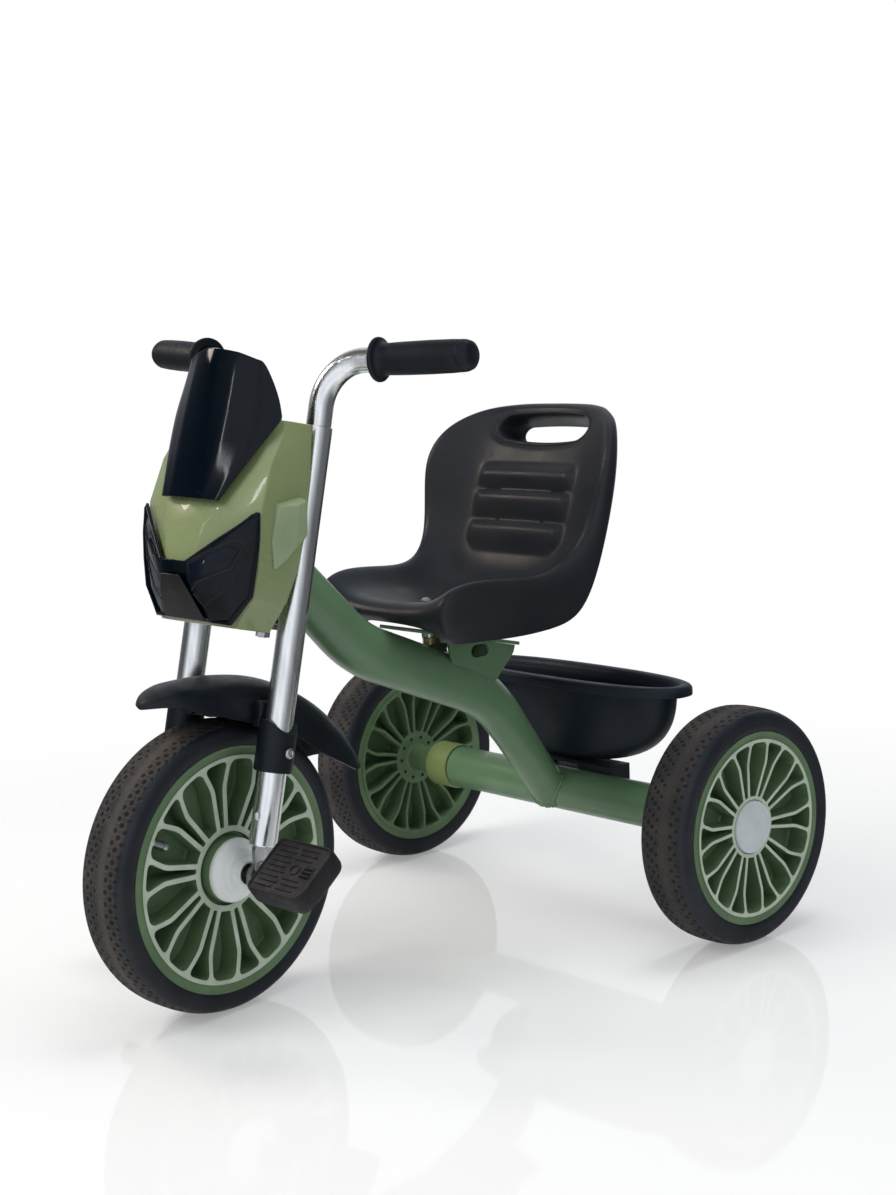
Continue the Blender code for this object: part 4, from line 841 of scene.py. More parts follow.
def pedal(side, word):
    _, _, height = PEDAL_SIZE
    top = height / 2
    levels = (
        (0.0016, -top), (0.0006, -top + 0.0010), (0.0, -top + 0.0040), (0.0, top - 0.0040),
        (0.0006, top - 0.0008), (0.0012, top), (0.0020, top), (0.0024, top - 0.0004),
        (0.0026, top - 0.0012),
    )
    verts = [(x, y, z) for inset, z in levels for x, y in pedal_outline(inset)]
    count = len(verts) // len(levels)
    faces = grid_faces(len(levels), count, closed_rows=True) + end_faces(len(verts), count)
    body = mesh_of("pedal_body", verts, faces, None, 40)
    parts = [(body, HERE, 0)]
    floor = top - 0.0012
    for flip in (1, -1):
        turn = half_turn(flip, "X")
        for row in range(9):
            y = -0.0180 + row * 0.0045
            shift = 0.0022 if row % 2 else 0.0
            for x0, x1 in ((-0.0235, -0.0060), (-0.0015, 0.0150)):
                if abs(y) < 0.0062 and x1 > 0.0 and x0 > -0.01:
                    continue
                low = (x0 + shift, y - 0.00055, floor - 0.0006)
                high = (min(x1 + shift, 0.0215), y + 0.00055, floor + 0.0009)
                parts.append((block("ridge", low, high, 0.0003, 1), turn, 0))
        ring = [(0.0036, 0.0), (0.0036, 0.0008), (0.0044, 0.0008), (0.0044, 0.0)]
        lift = Matrix.Translation((0.0045, 0.0, floor - 0.0001)) @ Matrix.Rotation(-math.pi / 2, 4, "Y")
        parts.append((lathe("pedal_ring", ring, 40, closed=True, soft=0.0001), turn @ lift, 0))
        # A near-black plate under the rungs stands for the slot's opening: painted shade.
        low, high = (0.0125, -0.0055, floor - 0.0005), (0.0215, 0.0055, floor + 0.0002)
        parts.append((block("pedal_slot", low, high, 0.0001, 1), turn, 1))
        for y in (-0.0030, 0.0005, 0.0040):
            low, high = (0.0120, y - 0.0006, floor - 0.0003), (0.0222, y + 0.0006, floor + 0.0008)
            parts.append((block("rung", low, high, 0.0002, 1), turn, 0))
    data = join(f"{word}_pedal_ridged", parts, 35)
    name = f"{word}_pedal"
    place = pedal_frame(side) @ half_turn(side)
    piece(name + "_ridged", data, (PEDAL, SLOT_PAINTED_SHADE), place, name, "pedal_black", name)


# The fork and handlebar


def fork():
    for side, word in SIDES:
        leg = [
            (BAR_R + 0.0001, LEG_TOP - 0.012), (BAR_R + 0.0002, LEG_TOP - 0.0006),
            (LEG_R - 0.0004, LEG_TOP), (LEG_R, LEG_TOP - 0.0010), (LEG_R, LEG_BOTTOM + 0.0010),
            (LEG_R - 0.0006, LEG_BOTTOM), (LEG_R - 0.0014, LEG_BOTTOM + 0.0004),
            (LEG_R - 0.0014, LEG_BOTTOM + 0.02),
        ]
        parts = [(lathe("leg", leg, 64, soft=0.0003), along((0, 0, 0), (0, 0, 1)), 0)]
        data = join(f"{word}_leg_tube", parts, 40)
        place = STEER @ Matrix.Translation((side * LEG_X, LEG_Y, 0.0))
        piece(f"{word}_leg_tube", data, CHROME, place, "steering", "leg_steel", f"{word}_fork_leg")
        handlebar(side, word)
        small_screws(side, word)


def handlebar(side, word):
    direction = (GRIP_END - GRIP_START).normalized()
    end = GRIP_START + direction * (GRIP_LENGTH - 0.006)
    across = GRIP_START + direction * (LEG_X - GRIP_START.x) / direction.x
    top = Vector((LEG_X, LEG_Y, across.z))
    corners = [Vector((LEG_X, LEG_Y, BAR_BOTTOM)), top, GRIP_START - direction * 0.004]
    path = arc_path(corners, BAR_BEND_R, 20) + [end]
    path = [Vector((side * p.x, p.y, p.z)) for p in path]
    data = sweep(f"{word}_bar_bent", path, BAR_R, 48)
    piece(f"{word}_bar_bent", data, CHROME, STEER, "steering", "leg_steel", f"{word}_handlebar")
    grip = [
        (BAR_R + 0.0003, 0.0022), (BAR_R + 0.0008, 0.0), (GRIP_FLANGE_R - 0.0010, -0.0001),
        (GRIP_FLANGE_R, 0.0010), (GRIP_FLANGE_R - 0.0002, 0.0034), (GRIP_FLANGE_R - 0.0030, 0.0046),
        (GRIP_R + 0.0004, 0.0062), (GRIP_R - 0.0003, 0.0100), (GRIP_R + 0.0001, 0.0240),
        (GRIP_R + 0.0003, 0.0460), (GRIP_R + 0.0001, 0.0650), (GRIP_R - 0.0002, 0.0716),
        (GRIP_R - 0.0007, 0.0722), (GRIP_R - 0.0002, 0.0728), (GRIP_R - 0.0004, 0.0770),
        (GRIP_R - 0.0020, 0.0816), (0.0070, GRIP_LENGTH - 0.0004), (0.0, GRIP_LENGTH),
    ]
    start = Vector((side * GRIP_START.x, GRIP_START.y, GRIP_START.z))
    aim = Vector((side * direction.x, direction.y, direction.z))
    rest = (GRIP, STEER @ along(start, aim), "steering", "grip_rubber", f"{word}_grip")
    turned_piece(f"{word}_grip_moulded", grip, 64, 0.0012, *rest)


def small_screws(side, word):
    """The socket screw in the mudguard's sleeve and the domed rivet low on the leg."""
    socket = [(0.0, 0.0004), (0.0012, 0.0006), (0.0014, 0.0018), (0.0022, 0.0024), (0.0036, 0.0020)]
    socket += [(0.0042, 0.0010), (0.0042, -0.0004), (0.0, -0.0006)]
    dome = [(0.0, 0.0022), (0.0018, 0.0019), (0.0032, 0.0011), (0.0040, 0.0), (0.0038, -0.0006)]
    dome.append((0.0, -0.0008))
    outside = (side * (LEG_X + SLEEVE_R + 0.0003), LEG_Y, 0.097)
    before = (side * LEG_X, LEG_Y - LEG_R - 0.0003, 0.047)
    for name, profile, soft, start, aim, node in (
        ("socket_screw", socket, 0.0003, outside, (side, 0, 0), "guard_screw"),
        ("domed_rivet", dome, 0.0006, before, (0, -1, 0), "leg_rivet"),
    ):
        rest = (STEEL, STEER @ along(start, aim), "steering", "plain_steel", f"{word}_{node}")
        turned_piece(f"{word}_{name}", profile, 32, soft, *rest)


# The fairing, in the steering frame


def table_rows(table):
    return [[(x, y - FORK_OFFSET, z) for x, y in row] for z, row in table]


def shell_mesh(name, rows, thickness, inside, *changes, curved=False):
    data, count, width = skin(name, rows, inside)
    if curved:
        crease(data, count, width)
        fuller = ("DISPLACE", {"strength": 0.0011, "mid_level": 0.0})
        return evaluated(name, data, smoother(3), fuller, wall(thickness), *changes)
    return evaluated(name, data, wall(thickness), *changes)


def crease(data, count, width):
    """Half-sharp ridges along a curved screen, a sharp rim and the corners of its outline."""
    layer = data.attributes.new("crease_edge", "FLOAT", "EDGE")
    ridges = {2: 0.78, width - 3: 0.78, 1: 0.35, width - 2: 0.35}
    for edge in data.edges:
        (i, j), (k, m) = (divmod(v, width) for v in edge.vertices)
        if j == m and j in ridges:
            layer.data[edge.index].value = ridges[j]
        if j == m and j in (0, width - 1) or i == k and i in (0, count - 1):
            layer.data[edge.index].value = 1.0
    corners = data.attributes.new("crease_vert", "FLOAT", "POINT")
    for i in (0, 2, count - 1):
        for j in (0, width - 1):
            corners.data[i * width + j].value = 0.9


SHELL = (
    (0.1852, ((0.055, -0.026), (0.043, -0.0495), (0.022, -0.0530), (0.0, -0.0540))),
    (0.2100, ((0.063, -0.020), (0.059, -0.050), (0.020, -0.069), (0.0, -0.0715))),
    (0.2320, ((0.066, -0.016), (0.063, -0.0525), (0.0145, -0.078), (0.0, -0.0795))),
    (0.2600, ((0.068, -0.015), (0.065, -0.0570), (0.022, -0.077), (0.0, -0.0775))),
    (0.2755, ((0.068, -0.0155), (0.0645, -0.0595), (0.0305, -0.070), (0.0, -0.0740))),
    (0.3100, ((0.067, -0.017), (0.062, -0.0540), (0.038, -0.058), (0.0, -0.0695))),
    (0.3460, ((0.066, -0.021), (0.0585, -0.0385), (0.040, -0.0490), (0.0, -0.0660))),
)
SCREEN_ROWS = (
    (0.2790, ((0.0315, -0.0745), (0.0290, -0.0755), (0.018, -0.0785), (0.0, -0.0800))),
    (0.3100, ((0.0450, -0.0625), (0.0420, -0.0655), (0.0205, -0.0740), (0.0, -0.0770))),
    (0.3460, ((0.0600, -0.0470), (0.0470, -0.0590), (0.022, -0.0700), (0.0, -0.0750))),
    (0.3620, ((0.0540, -0.0470), (0.0440, -0.0575), (0.0225, -0.0680), (0.0, -0.0742))),
    (0.3830, ((0.0435, -0.0530), (0.0395, -0.0570), (0.0225, -0.0655), (0.0, -0.0735))),
)
SCREEN_TOP = (
    (0.0400, -0.0560, 0.3875), (0.0370, -0.0585, 0.3885), (0.0225, -0.0640, 0.3925),
    (0.0, -0.0710, 0.3955),
)
CHIN = (
    ((0.0430, -0.0555), (0.0340, -0.0580), (0.0255, -0.0600), (0.0160, -0.0608), (0.0, -0.0610)),
    ((0.0610, -0.0545), (0.0400, -0.0645), (0.0220, -0.0735), (0.0145, -0.0760), (0.0, -0.0770)),
    ((0.0645, -0.0575), (0.0430, -0.0685), (0.0230, -0.0785), (0.0138, -0.0832), (0.0, -0.0850)),
)
WING = (
    CHIN[-1][:4],
    ((0.0665, -0.0600), (0.0560, -0.0650), (0.0460, -0.0700), (0.0390, -0.0735)),
    ((0.0655, -0.0625), (0.0645, -0.0630), (0.0635, -0.0635), (0.0625, -0.0640)),
)
PANEL_Z = (0.1875, 0.2100, 0.2311, 0.2525, 0.2735)
INSIDE = (0.0, -FORK_OFFSET - 0.02, 0.26)


def fairing():
    data = shell_mesh("fairing_bevelled", table_rows(SHELL), 0.003, INSIDE, soft_edges(0.0028, 5, 16))
    parts = [(data, HERE, 0)]
    for side in (1, -1):
        # The fins take the paler finish, which paints in their highlight.
        parts.append((side_fin(), mirror(side), 1))
    data = join("fairing_bevelled", parts, 60)
    piece("fairing_bevelled", data, (FAIRING, FIN_PAINTED_HIGHLIGHT), STEER, "steering", "fairing_green", "fairing_shell")
    rows = table_rows(SCREEN_ROWS) + [[(x, y - FORK_OFFSET, z) for x, y, z in SCREEN_TOP]]
    data = shell_mesh("windscreen_gloss", rows, 0.0025, INSIDE, soft_edges(0.0006, 2, 40), curved=True)
    piece("windscreen_gloss", data, SCREEN, STEER, "steering", "screen_black", "windscreen")
    headlights()
    nose = [
        ((0.0235, -0.0634 - FORK_OFFSET, 0.1880), (0.0, -0.0644 - FORK_OFFSET, 0.1880)),
        ((0.0165, -0.0776 - FORK_OFFSET, 0.2080), (0.0, -0.0789 - FORK_OFFSET, 0.2080)),
        ((0.0105, -0.0850 - FORK_OFFSET, 0.2200), (0.0, -0.0860 - FORK_OFFSET, 0.2200)),
    ]
    data = shell_mesh("nose_folded", nose, 0.0012, INSIDE, soft_edges(0.0006, 2, 8))
    piece("nose_folded", data, NOSE, STEER, "steering", "nose_brown", "nose_panel")


def side_fin():
    """The raised wedge low on the shell's side."""
    base = [
        (0.0640, -0.0470, 0.2823), (0.0640, -0.0235, 0.2916), (0.0640, -0.0178, 0.2615),
        (0.0640, -0.0330, 0.2400), (0.0640, -0.0400, 0.2310), (0.0640, -0.0480, 0.2560),
    ]
    raised = [
        (0.0690, -0.0462, 0.2800), (0.0752, -0.0245, 0.2890), (0.0752, -0.0190, 0.2622),
        (0.0718, -0.0330, 0.2430), (0.0668, -0.0392, 0.2340), (0.0680, -0.0468, 0.2560),
    ]
    ridge = [(0.0768, -0.0330, 0.2842), (0.0764, -0.0318, 0.2600)]
    base, raised, ridge = ([(x, y - FORK_OFFSET, z) for x, y, z in row] for row in (base, raised, ridge))
    verts = base + raised + ridge
    faces = [(i, (i + 1) % 6, 6 + (i + 1) % 6, 6 + i) for i in range(6)]
    faces += [tuple(range(6)), (6, 12, 13, 10, 11), (6, 7, 12), (7, 8, 13, 12), (8, 9, 13), (9, 10, 13)]
    data = mesh_of("fin", verts, faces, None, 180)
    return evaluated("fin", data, soft_edges(0.0016, 4, 10))


def panel_point(share, height, out=0.0):
    """A point on the headlight panel, from its outer edge (0) to its inner edge (1), lifted off it."""
    rows = table_rows(zip(PANEL_Z, [row[:4] for row in CHIN] + list(WING[1:])))
    zs = [row[0][2] for row in rows]
    i = max(k for k in range(len(zs) - 1) if zs[k] <= height or k == 0)
    t = (height - zs[i]) / (zs[i + 1] - zs[i])

    def on(row):
        at = share * (len(row) - 1)
        k = min(int(at), len(row) - 2)
        return Vector(row[k]).lerp(Vector(row[k + 1]), at - k)

    low, high = on(rows[i]), on(rows[i + 1])
    p = low.lerp(high, t)
    normal = Vector((0.45, -0.88, 0.12)).normalized()
    return p + normal * out


def headlights():
    bm = bmesh.new()
    grids = [table_rows(zip(PANEL_Z[:3], CHIN)), table_rows(zip(PANEL_Z[2:], WING))]
    for side in (1, -1):
        for rows in grids:
            grid = [[bm.verts.new((side * x, y, z)) for x, y, z in row] for row in rows]
            for low, high in zip(grid, grid[1:]):
                for i in range(len(low) - 1):
                    bm.faces.new((low[i], low[i + 1], high[i + 1], high[i]))
    bmesh.ops.remove_doubles(bm, verts=bm.verts, dist=0.00001)
    bmesh.ops.recalc_face_normals(bm, faces=bm.faces)
    face = max(bm.faces, key=lambda f: f.calc_area())
    if face.normal.dot(face.calc_center_median() - Vector(INSIDE)) < 0:
        bmesh.ops.reverse_faces(bm, faces=bm.faces)
    data = from_bmesh("panel", bm)
    data.shade_smooth()
    panel = evaluated("panel", data, wall(0.0022), soft_edges(0.0010, 3, 8))
    parts = [(panel, HERE, 0)]
    lens = ((0.90, 0.2290), (0.52, 0.2465), (0.30, 0.2440), (0.30, 0.2330), (0.90, 0.2130))
    for side in (1, -1):
        flip = mirror(side)
        low = [panel_point(u, z, -0.0008) for u, z in lens]
        high = [panel_point(u, z, 0.0009) for u, z in lens]
        count = len(lens)
        faces = end_faces(2 * count, count)
        faces += [(i, (i + 1) % count, count + (i + 1) % count, count + i) for i in range(count)]
        made = mesh_of("lens", low + high, faces, None, 180)
        parts.append((evaluated("lens", made, soft_edges(0.0005, 2, 20)), flip, 1))
        lines = (
            (0.0009, ((0.985, 0.2311), (0.985, 0.2525), (0.80, 0.2715), (0.10, 0.2700), (0.035, 0.2500))),
            (0.0009, ((0.035, 0.2500), (0.035, 0.2311), (0.035, 0.2100), (0.12, 0.1895), (0.60, 0.1890))),
            (0.0006, ((0.93, 0.2330), (0.55, 0.2510), (0.26, 0.2500), (0.26, 0.2300), (0.90, 0.2100))),
            (0.0005, ((0.18, 0.2570), (0.15, 0.2330), (0.30, 0.2160))),
            (0.0005, ((0.22, 0.2550), (0.20, 0.2350))),
            (0.0006, ((0.88, 0.2080), (0.66, 0.1990), (0.36, 0.2100), (0.20, 0.2230))),
        )
        for thick, line in lines:
            path = []
            for (u0, z0), (u1, z1) in zip(line, line[1:]):
                for k in range(6):
                    t = k / 6
                    path.append(panel_point(u0 + (u1 - u0) * t, z0 + (z1 - z0) * t, 0.0001))
            path.append(panel_point(*line[-1], 0.0001))
            # The thinner frame lines take the lighter grey pedal finish: a painted highlight along these
            # raised edges.
            parts.append((sweep("frame_line", path, thick, 10), flip, 0 if thick > 0.0008 else 2))
    data = join("headlight_panel_framed", parts, 60)
    finishes = (SCREEN, LENS, PEDAL)
    piece("headlight_panel_framed", data, finishes, STEER, "steering", "screen_black", "headlight_panel")


# The mudguard


# Rows of (angle from the top, how far the side is swept back, outline of (x, radius) from side to crown)
GUARD_SWEEP = (1.0, 0.62, 0.16, 0.0)
GUARD_ROWS = (
    (39.5, 12.5, ((0.0325, 0.1325), (0.0255, 0.1445), (0.0125, 0.1505), (0.0, 0.1515))),
    (37.5, 12.5, ((0.0345, 0.1300), (0.0275, 0.1480), (0.0140, 0.1548), (0.0, 0.1560))),
    (30, 10.0, ((0.0355, 0.1270), (0.0300, 0.1475), (0.0155, 0.1545), (0.0, 0.1560))),
    (23, 6.0, ((0.0362, 0.1230), (0.0325, 0.1430), (0.0190, 0.1505), (0.0, 0.1528))),
    (14, 2.0, ((0.0370, 0.1190), (0.0345, 0.1392), (0.0210, 0.1488), (0.0, 0.1512))),
    (0, 0.0, ((0.0380, 0.1150), (0.0355, 0.1380), (0.0220, 0.1482), (0.0, 0.1508))),
    (-14, 0.0, ((0.0385, 0.1135), (0.0360, 0.1380), (0.0220, 0.1488), (0.0, 0.1515))),
    (-27, 0.0, ((0.0388, 0.1130), (0.0363, 0.1385), (0.0220, 0.1505), (0.0, 0.1535))),
    (-38, 0.0, ((0.0390, 0.1180), (0.0365, 0.1390), (0.0220, 0.1520), (0.0, 0.1555))),
    (-47, 0.0, ((0.0385, 0.1290), (0.0355, 0.1430), (0.0220, 0.1535), (0.0, 0.1575))),
    (-54, 0.0, ((0.0350, 0.1390), (0.0310, 0.1480), (0.0200, 0.1550), (0.0, 0.1585))),
)


def mudguard():
    rows = []
    for degrees, sweep, outline in GUARD_ROWS:
        row = []
        for (x, r), share in zip(outline, GUARD_SWEEP):
            a = math.radians(degrees - sweep * share)
            row.append((x, -FORK_OFFSET - r * math.sin(a), r * math.cos(a)))
        rows.append(row)
    data, _, width = skin("guard", rows, (0.0, -FORK_OFFSET, 0.09))
    layer = data.attributes.new("crease_edge", "FLOAT", "EDGE")
    for edge in data.edges:
        if all(v % width == width // 2 for v in edge.vertices):
            layer.data[edge.index].value = 0.75
    guard = evaluated("guard", data, smoother(3), wall(0.0025), soft_edges(0.0006, 2, 40))
    parts = [(guard, HERE, 0)]
    low, high = (0.0345, LEG_Y - 0.0115, 0.113), (0.0440, LEG_Y + 0.0115, 0.1335)
    for side in (1, -1):
        parts.append((sleeve_mesh(side), Matrix.Translation((side * LEG_X, LEG_Y, 0.0)), 0))
        parts.append((block("tab", low, high, 0.0018, 3), mirror(side), 0))
    data = join("mudguard_crowned", parts, 45)
    piece("mudguard_crowned", data, GUARD, STEER, "steering", "guard_black", "mudguard")


def sleeve_mesh(side):
    """The sleeve round a leg. Its upper edge dips at the outer front."""
    sides = 64
    low, high = SLEEVE_Z
    rings = ((LEG_R + 0.0001, 0.0008), (SLEEVE_R - 0.0009, 0.0), (SLEEVE_R, 0.0009))
    verts = [(radius * x, radius * y, low + inset) for radius, inset in rings for x, y in circle(sides)]
    for radius, inset in reversed(rings):
        for x, y in circle(sides):
            dip = 0.009 * max(0.0, side * x) ** 1.5
            verts.append((radius * x, radius * y, high - dip - inset))
    return mesh_of("sleeve", verts, grid_faces(6, sides, closed_rows=True), None, 40)


# The frame, with y measured from the rear axle


def tube_stations():
    path = arc_path([(0.0, y, z) for y, z in TUBE_CORNERS], TUBE_BEND_R, 16)
    dense = []
    for a, b in zip(path, path[1:]):
        count = max(1, int((b - a).length / 0.006))
        dense += [a.lerp(b, k / count) for k in range(count)]
    dense.append(path[-1])
    lengths = [0.0]
    for a, b in zip(dense, dense[1:]):
        lengths.append(lengths[-1] + (b - a).length)
    shares, heights, widths = zip(*TUBE_SIZES)
    stations = []
    for p, length in zip(dense, lengths):
        share = length / lengths[-1]
        stations.append((p, *(float(np.interp(share, shares, sizes)) for sizes in (heights, widths))))
    return stations


def main_tube():
    stations = tube_stations()
    sides = 64
    verts = []
    for i, (p, height, width) in enumerate(stations):
        ahead = (stations[min(i + 1, len(stations) - 1)][0] - stations[max(i - 1, 0)][0]).normalized()
        up = Vector((1, 0, 0)).cross(ahead)
        verts += [p + Vector((width / 2 * c, 0, 0)) + up * (height / 2 * s) for c, s in circle(sides)]
    data = mesh_of("tube", verts, grid_faces(len(stations), sides, closed_rows=True), None, 60)
    bm = bmesh.new()
    bm.from_mesh(data)
    to_rear = REAR.inverted() @ HEAD
    origin = to_rear @ Vector((0, 0.0005, 0.2))
    normal = to_rear.to_3x3() @ Vector((0, -1, 0))
    bmesh.ops.bisect_plane(
        bm, geom=bm.verts[:] + bm.edges[:] + bm.faces[:], plane_co=origin, plane_no=normal, clear_outer=True
    )
    bm.to_mesh(data)
    bm.free()
    data = evaluated("tube", data, ("SOLIDIFY", {"thickness": 0.0018, "offset": -1.0}))
    parts = [(data, HERE, 0), (weld_bead(stations), HERE, 0)]
    data = join("main_tube_welded", parts, 50)
    piece("main_tube_welded", data, FRAME_GREEN, REAR, "frame", "frame_green", "main_tube")


def weld_bead(stations):
    """The rough bead where the main tube meets the axle tube."""
    p, height, width = stations[-1]
    ahead = (stations[-1][0] - stations[-2][0]).normalized()
    up = Vector((1, 0, 0)).cross(ahead)
    centre = Vector((0.0, 0.0, REAR_TYRE_R))
    points = []
    for k in range(96):
        turn = 2 * math.pi * k / 96
        side = Vector((width / 2 * math.cos(turn), 0, 0)) + up * (height / 2 * math.sin(turn))
        best = p + side
        for step in range(200):
            q = p + side - ahead * step * 0.0002
            if math.hypot(q.y - centre.y, q.z - centre.z) >= AXLE_TUBE_R:
                best = q
                break
        points.append(best)
    verts, sides = [], 10
    for i, q in enumerate(points):
        tangent = (points[(i + 1) % 96] - points[i - 1]).normalized()
        out = Vector((0, q.y - centre.y, q.z - centre.z)).normalized()
        side = tangent.cross(out).normalized()
        radius = 0.0017 + 0.00035 * math.sin(i * 2.4) + 0.0002 * math.sin(i * 1.1 + 1.0)
        for k in range(sides):
            turn = 2 * math.pi * k / sides
            verts.append(q + (out * math.cos(turn) + side * math.sin(turn)) * radius)
    faces = grid_faces(96, sides, closed_rows=True, closed_columns=True)
    return mesh_of("bead", verts, faces, None, 80)


def axle_tube():
    half = AXLE_TUBE_HALF
    bore = AXLE_TUBE_R - 0.002
    line = [(bore, half), (AXLE_TUBE_R, half), (AXLE_TUBE_R, -half), (bore, -half)]
    place = REAR @ Matrix.Translation((0, 0, REAR_TYRE_R))
    rest = (FRAME_GREEN, place, "frame", "frame_green", "rear_axle_tube")
    turned_piece("axle_tube_painted", line, 96, 0.0006, *rest)
    for side, word in SIDES:
        bush = [
            (AXLE_R + 0.0004, BUSH_END - 0.0010), (BUSH_R - 0.0030, BUSH_END),
            (BUSH_R - 0.0006, BUSH_END - 0.0004), (BUSH_R, BUSH_END - 0.0020), (BUSH_R, half + 0.0016),
            (BUSH_R - 0.0006, half + 0.0003), (AXLE_TUBE_R - 0.0023, half + 0.0003),
            (AXLE_TUBE_R - 0.0023, half - 0.012),
        ]
        rest = (BUSH_GREEN, place @ half_turn(side), "frame", "bush_green", f"{word}_axle_tube_bush")
        turned_piece(f"{word}_bush_moulded", bush, 80, 0.0006, *rest)


def seat_plate():
    """The flat plate under the seat, with rounded corners."""
    first, last = -0.190, -0.056
    middle = (first + last) / 2
    half = (last - first) / math.cos(PLATE_SLOPE) / 2
    wide = 0.020
    outline = rounded([(-wide, -half), (wide, -half), (wide, half), (-wide, half)], 0.008, 5, closed=True)
    data = prism("seat_plate_pressed", outline, 0.003, 0.0007)
    height = 0.2550 - math.tan(PLATE_SLOPE) * (middle + 0.105)
    place = REAR @ Matrix.Translation((0, middle, height)) @ Matrix.Rotation(-PLATE_SLOPE, 4, "X")
    piece("seat_plate_pressed", data, FRAME_GREEN, place, "frame", "frame_green", "seat_plate")


# The seat, with y measured from the rear axle


SEAT_STATIONS = (
    ((0.058, -0.190, 0.269), (0.070, -0.197, 0.268), (0.071, -0.200, 0.274), (-0.198, 0.2815)),
    ((0.076, -0.193, 0.268), (0.082, -0.203, 0.275), (0.082, -0.210, 0.294), (-0.206, 0.2875)),
    ((0.083, -0.185, 0.268), (0.088, -0.192, 0.284), (0.083, -0.203, 0.319), (-0.194, 0.2995)),
    ((0.086, -0.168, 0.268), (0.093, -0.170, 0.300), (0.082, -0.178, 0.3290), (-0.167, 0.2920)),
    ((0.088, -0.132, 0.266), (0.095, -0.134, 0.303), (0.082, -0.138, 0.3240), (-0.125, 0.2880)),
    ((0.090, -0.095, 0.267), (0.096, -0.101, 0.300), (0.085, -0.103, 0.3200), (-0.088, 0.2880)),
    ((0.096, -0.061, 0.273), (0.100, -0.070, 0.303), (0.092, -0.080, 0.3280), (-0.060, 0.2965)),
    ((0.105, -0.047, 0.310), (0.109, -0.050, 0.330), (0.101, -0.060, 0.3490), (-0.042, 0.3210)),
    ((0.112, -0.036, 0.362), (0.116, -0.040, 0.374), (0.110, -0.054, 0.3800), (-0.0295, 0.3560)),
    ((0.114, -0.029, 0.398), (0.118, -0.033, 0.406), (0.113, -0.049, 0.4070), (-0.0165, 0.3920)),
    ((0.106, -0.018, 0.426), (0.108, -0.021, 0.429), (0.104, -0.032, 0.4295), (-0.0020, 0.4230)),
    ((0.088, -0.001, 0.441), (0.088, -0.005, 0.443), (0.084, -0.011, 0.4425), (0.0095, 0.4430)),
    ((0.060, 0.018, 0.444), (0.064, 0.013, 0.449), (0.062, 0.010, 0.4500), (0.0180, 0.4525)),
    ((0.043, 0.031, 0.438), (0.046, 0.028, 0.443), (0.045, 0.026, 0.4460), (0.0300, 0.4480)),
    ((0.041, 0.032, 0.425), (0.043, 0.032, 0.427), (0.042, 0.0325, 0.4290), (0.0350, 0.4290)),
)
RIB_EDGES = (0.4010, 0.3758, 0.3491, 0.3206)
RIB_HALF = 0.0605
SLOT_CENTRE = Vector((0.0, 0.0168, 0.4240))
SLOT_TILT = math.radians(70)
SLOT_AXIS = Vector((0.0, -math.sin(SLOT_TILT), math.cos(SLOT_TILT)))
SLOT_UP = Vector((0.0, math.cos(SLOT_TILT), math.sin(SLOT_TILT)))
SLOT_HALF = 0.0415


def seat_surface():
    rows = []
    for skirt, shoulder, crest, (yc, zc) in SEAT_STATIONS:
        middle = Vector((0.0, yc, zc))
        foot = middle.lerp(Vector(crest), 0.14)
        foot.x = crest[0] * 0.70
        rows.append([skirt, shoulder, crest, foot, middle])
    data, _, _ = skin("seat", rows, (0.0, 0.0, 0.20))
    return evaluated("seat", data, smoother(4))


def smooth_step(value, low, high):
    t = np.clip((value - low) / (high - low), 0, 1)
    return t * t * (3 - 2 * t)


def slot_taper(x):
    """How much lower the hand slot is at x than in the middle, which makes its outline lens-shaped."""
    return 1 - 0.34 * (x / 0.060) ** 2


def seat():
    data = seat_surface()
    places, normals = (np.zeros(len(data.vertices) * 3) for _ in range(2))
    data.vertices.foreach_get("co", places)
    data.vertices.foreach_get("normal", normals)
    places, normals = places.reshape(-1, 3), normals.reshape(-1, 3)
    ribs = np.zeros(len(places))
    x, y, z = places.T
    front = (normals[:, 1] < -0.1) & (y < 0.02)
    for number, (top, bottom) in enumerate(zip(RIB_EDGES, RIB_EDGES[1:])):
        t = (top - z) / (top - bottom)
        inside = (t > 0) & (t < 1) & front
        tt = np.clip(t, 0, 1)
        peak = 0.26 if number else 0.5
        rise = smooth_step(tt, 0.0, peak) ** (0.65 if number else 1.0)
        bulge = rise * (1 - smooth_step(tt, peak, 1.0)) ** 0.6
        reach = RIB_HALF - (0.006 * smooth_step(tt, 0.45, 1.0) if number == 2 else 0.0)
        ends = 1 - smooth_step(np.abs(x), reach - 0.0085, reach)
        ribs += np.where(inside, bulge * ends * 0.0060, 0.0)
    rel = places - np.array(SLOT_CENTRE)
    across = np.maximum(np.abs(rel[:, 0]) - SLOT_HALF, 0.0)
    q = np.hypot(across, rel @ np.array(SLOT_UP) / slot_taper(rel[:, 0]))
    funnel = (1 - smooth_step(q, 0.0125, 0.0225)) * 0.0030
    near = (np.abs(rel @ np.array(SLOT_AXIS)) < 0.03) & front
    push = np.where(near, funnel, 0.0)
    places = places + normals * (ribs - push)[:, None]
    data.vertices.foreach_set("co", places.reshape(-1))
    data.update()
    bm = bmesh.new()
    bm.from_mesh(data)
    tree = BVHTree.FromBMesh(bm)
    gone = []
    for face in bm.faces:
        c = face.calc_center_median() - SLOT_CENTRE
        high = c.dot(SLOT_UP) / slot_taper(c.x)
        if abs(c.dot(SLOT_AXIS)) < 0.03 and math.hypot(max(abs(c.x) - SLOT_HALF, 0.0), high) < 0.0158:
            gone.append(face)
    bmesh.ops.delete(bm, geom=gone, context="FACES")
    bm.to_mesh(data)
    bm.free()
    data = evaluated("seat", data, wall(0.0035, False))
    data.shade_smooth()
    parts = [(data, HERE, 0), (slot_ring(tree), HERE, 0)]
    data = join("seat_moulded", parts, 60)
    piece("seat_moulded", data, SEAT, REAR, "frame", "seat_black", "seat")


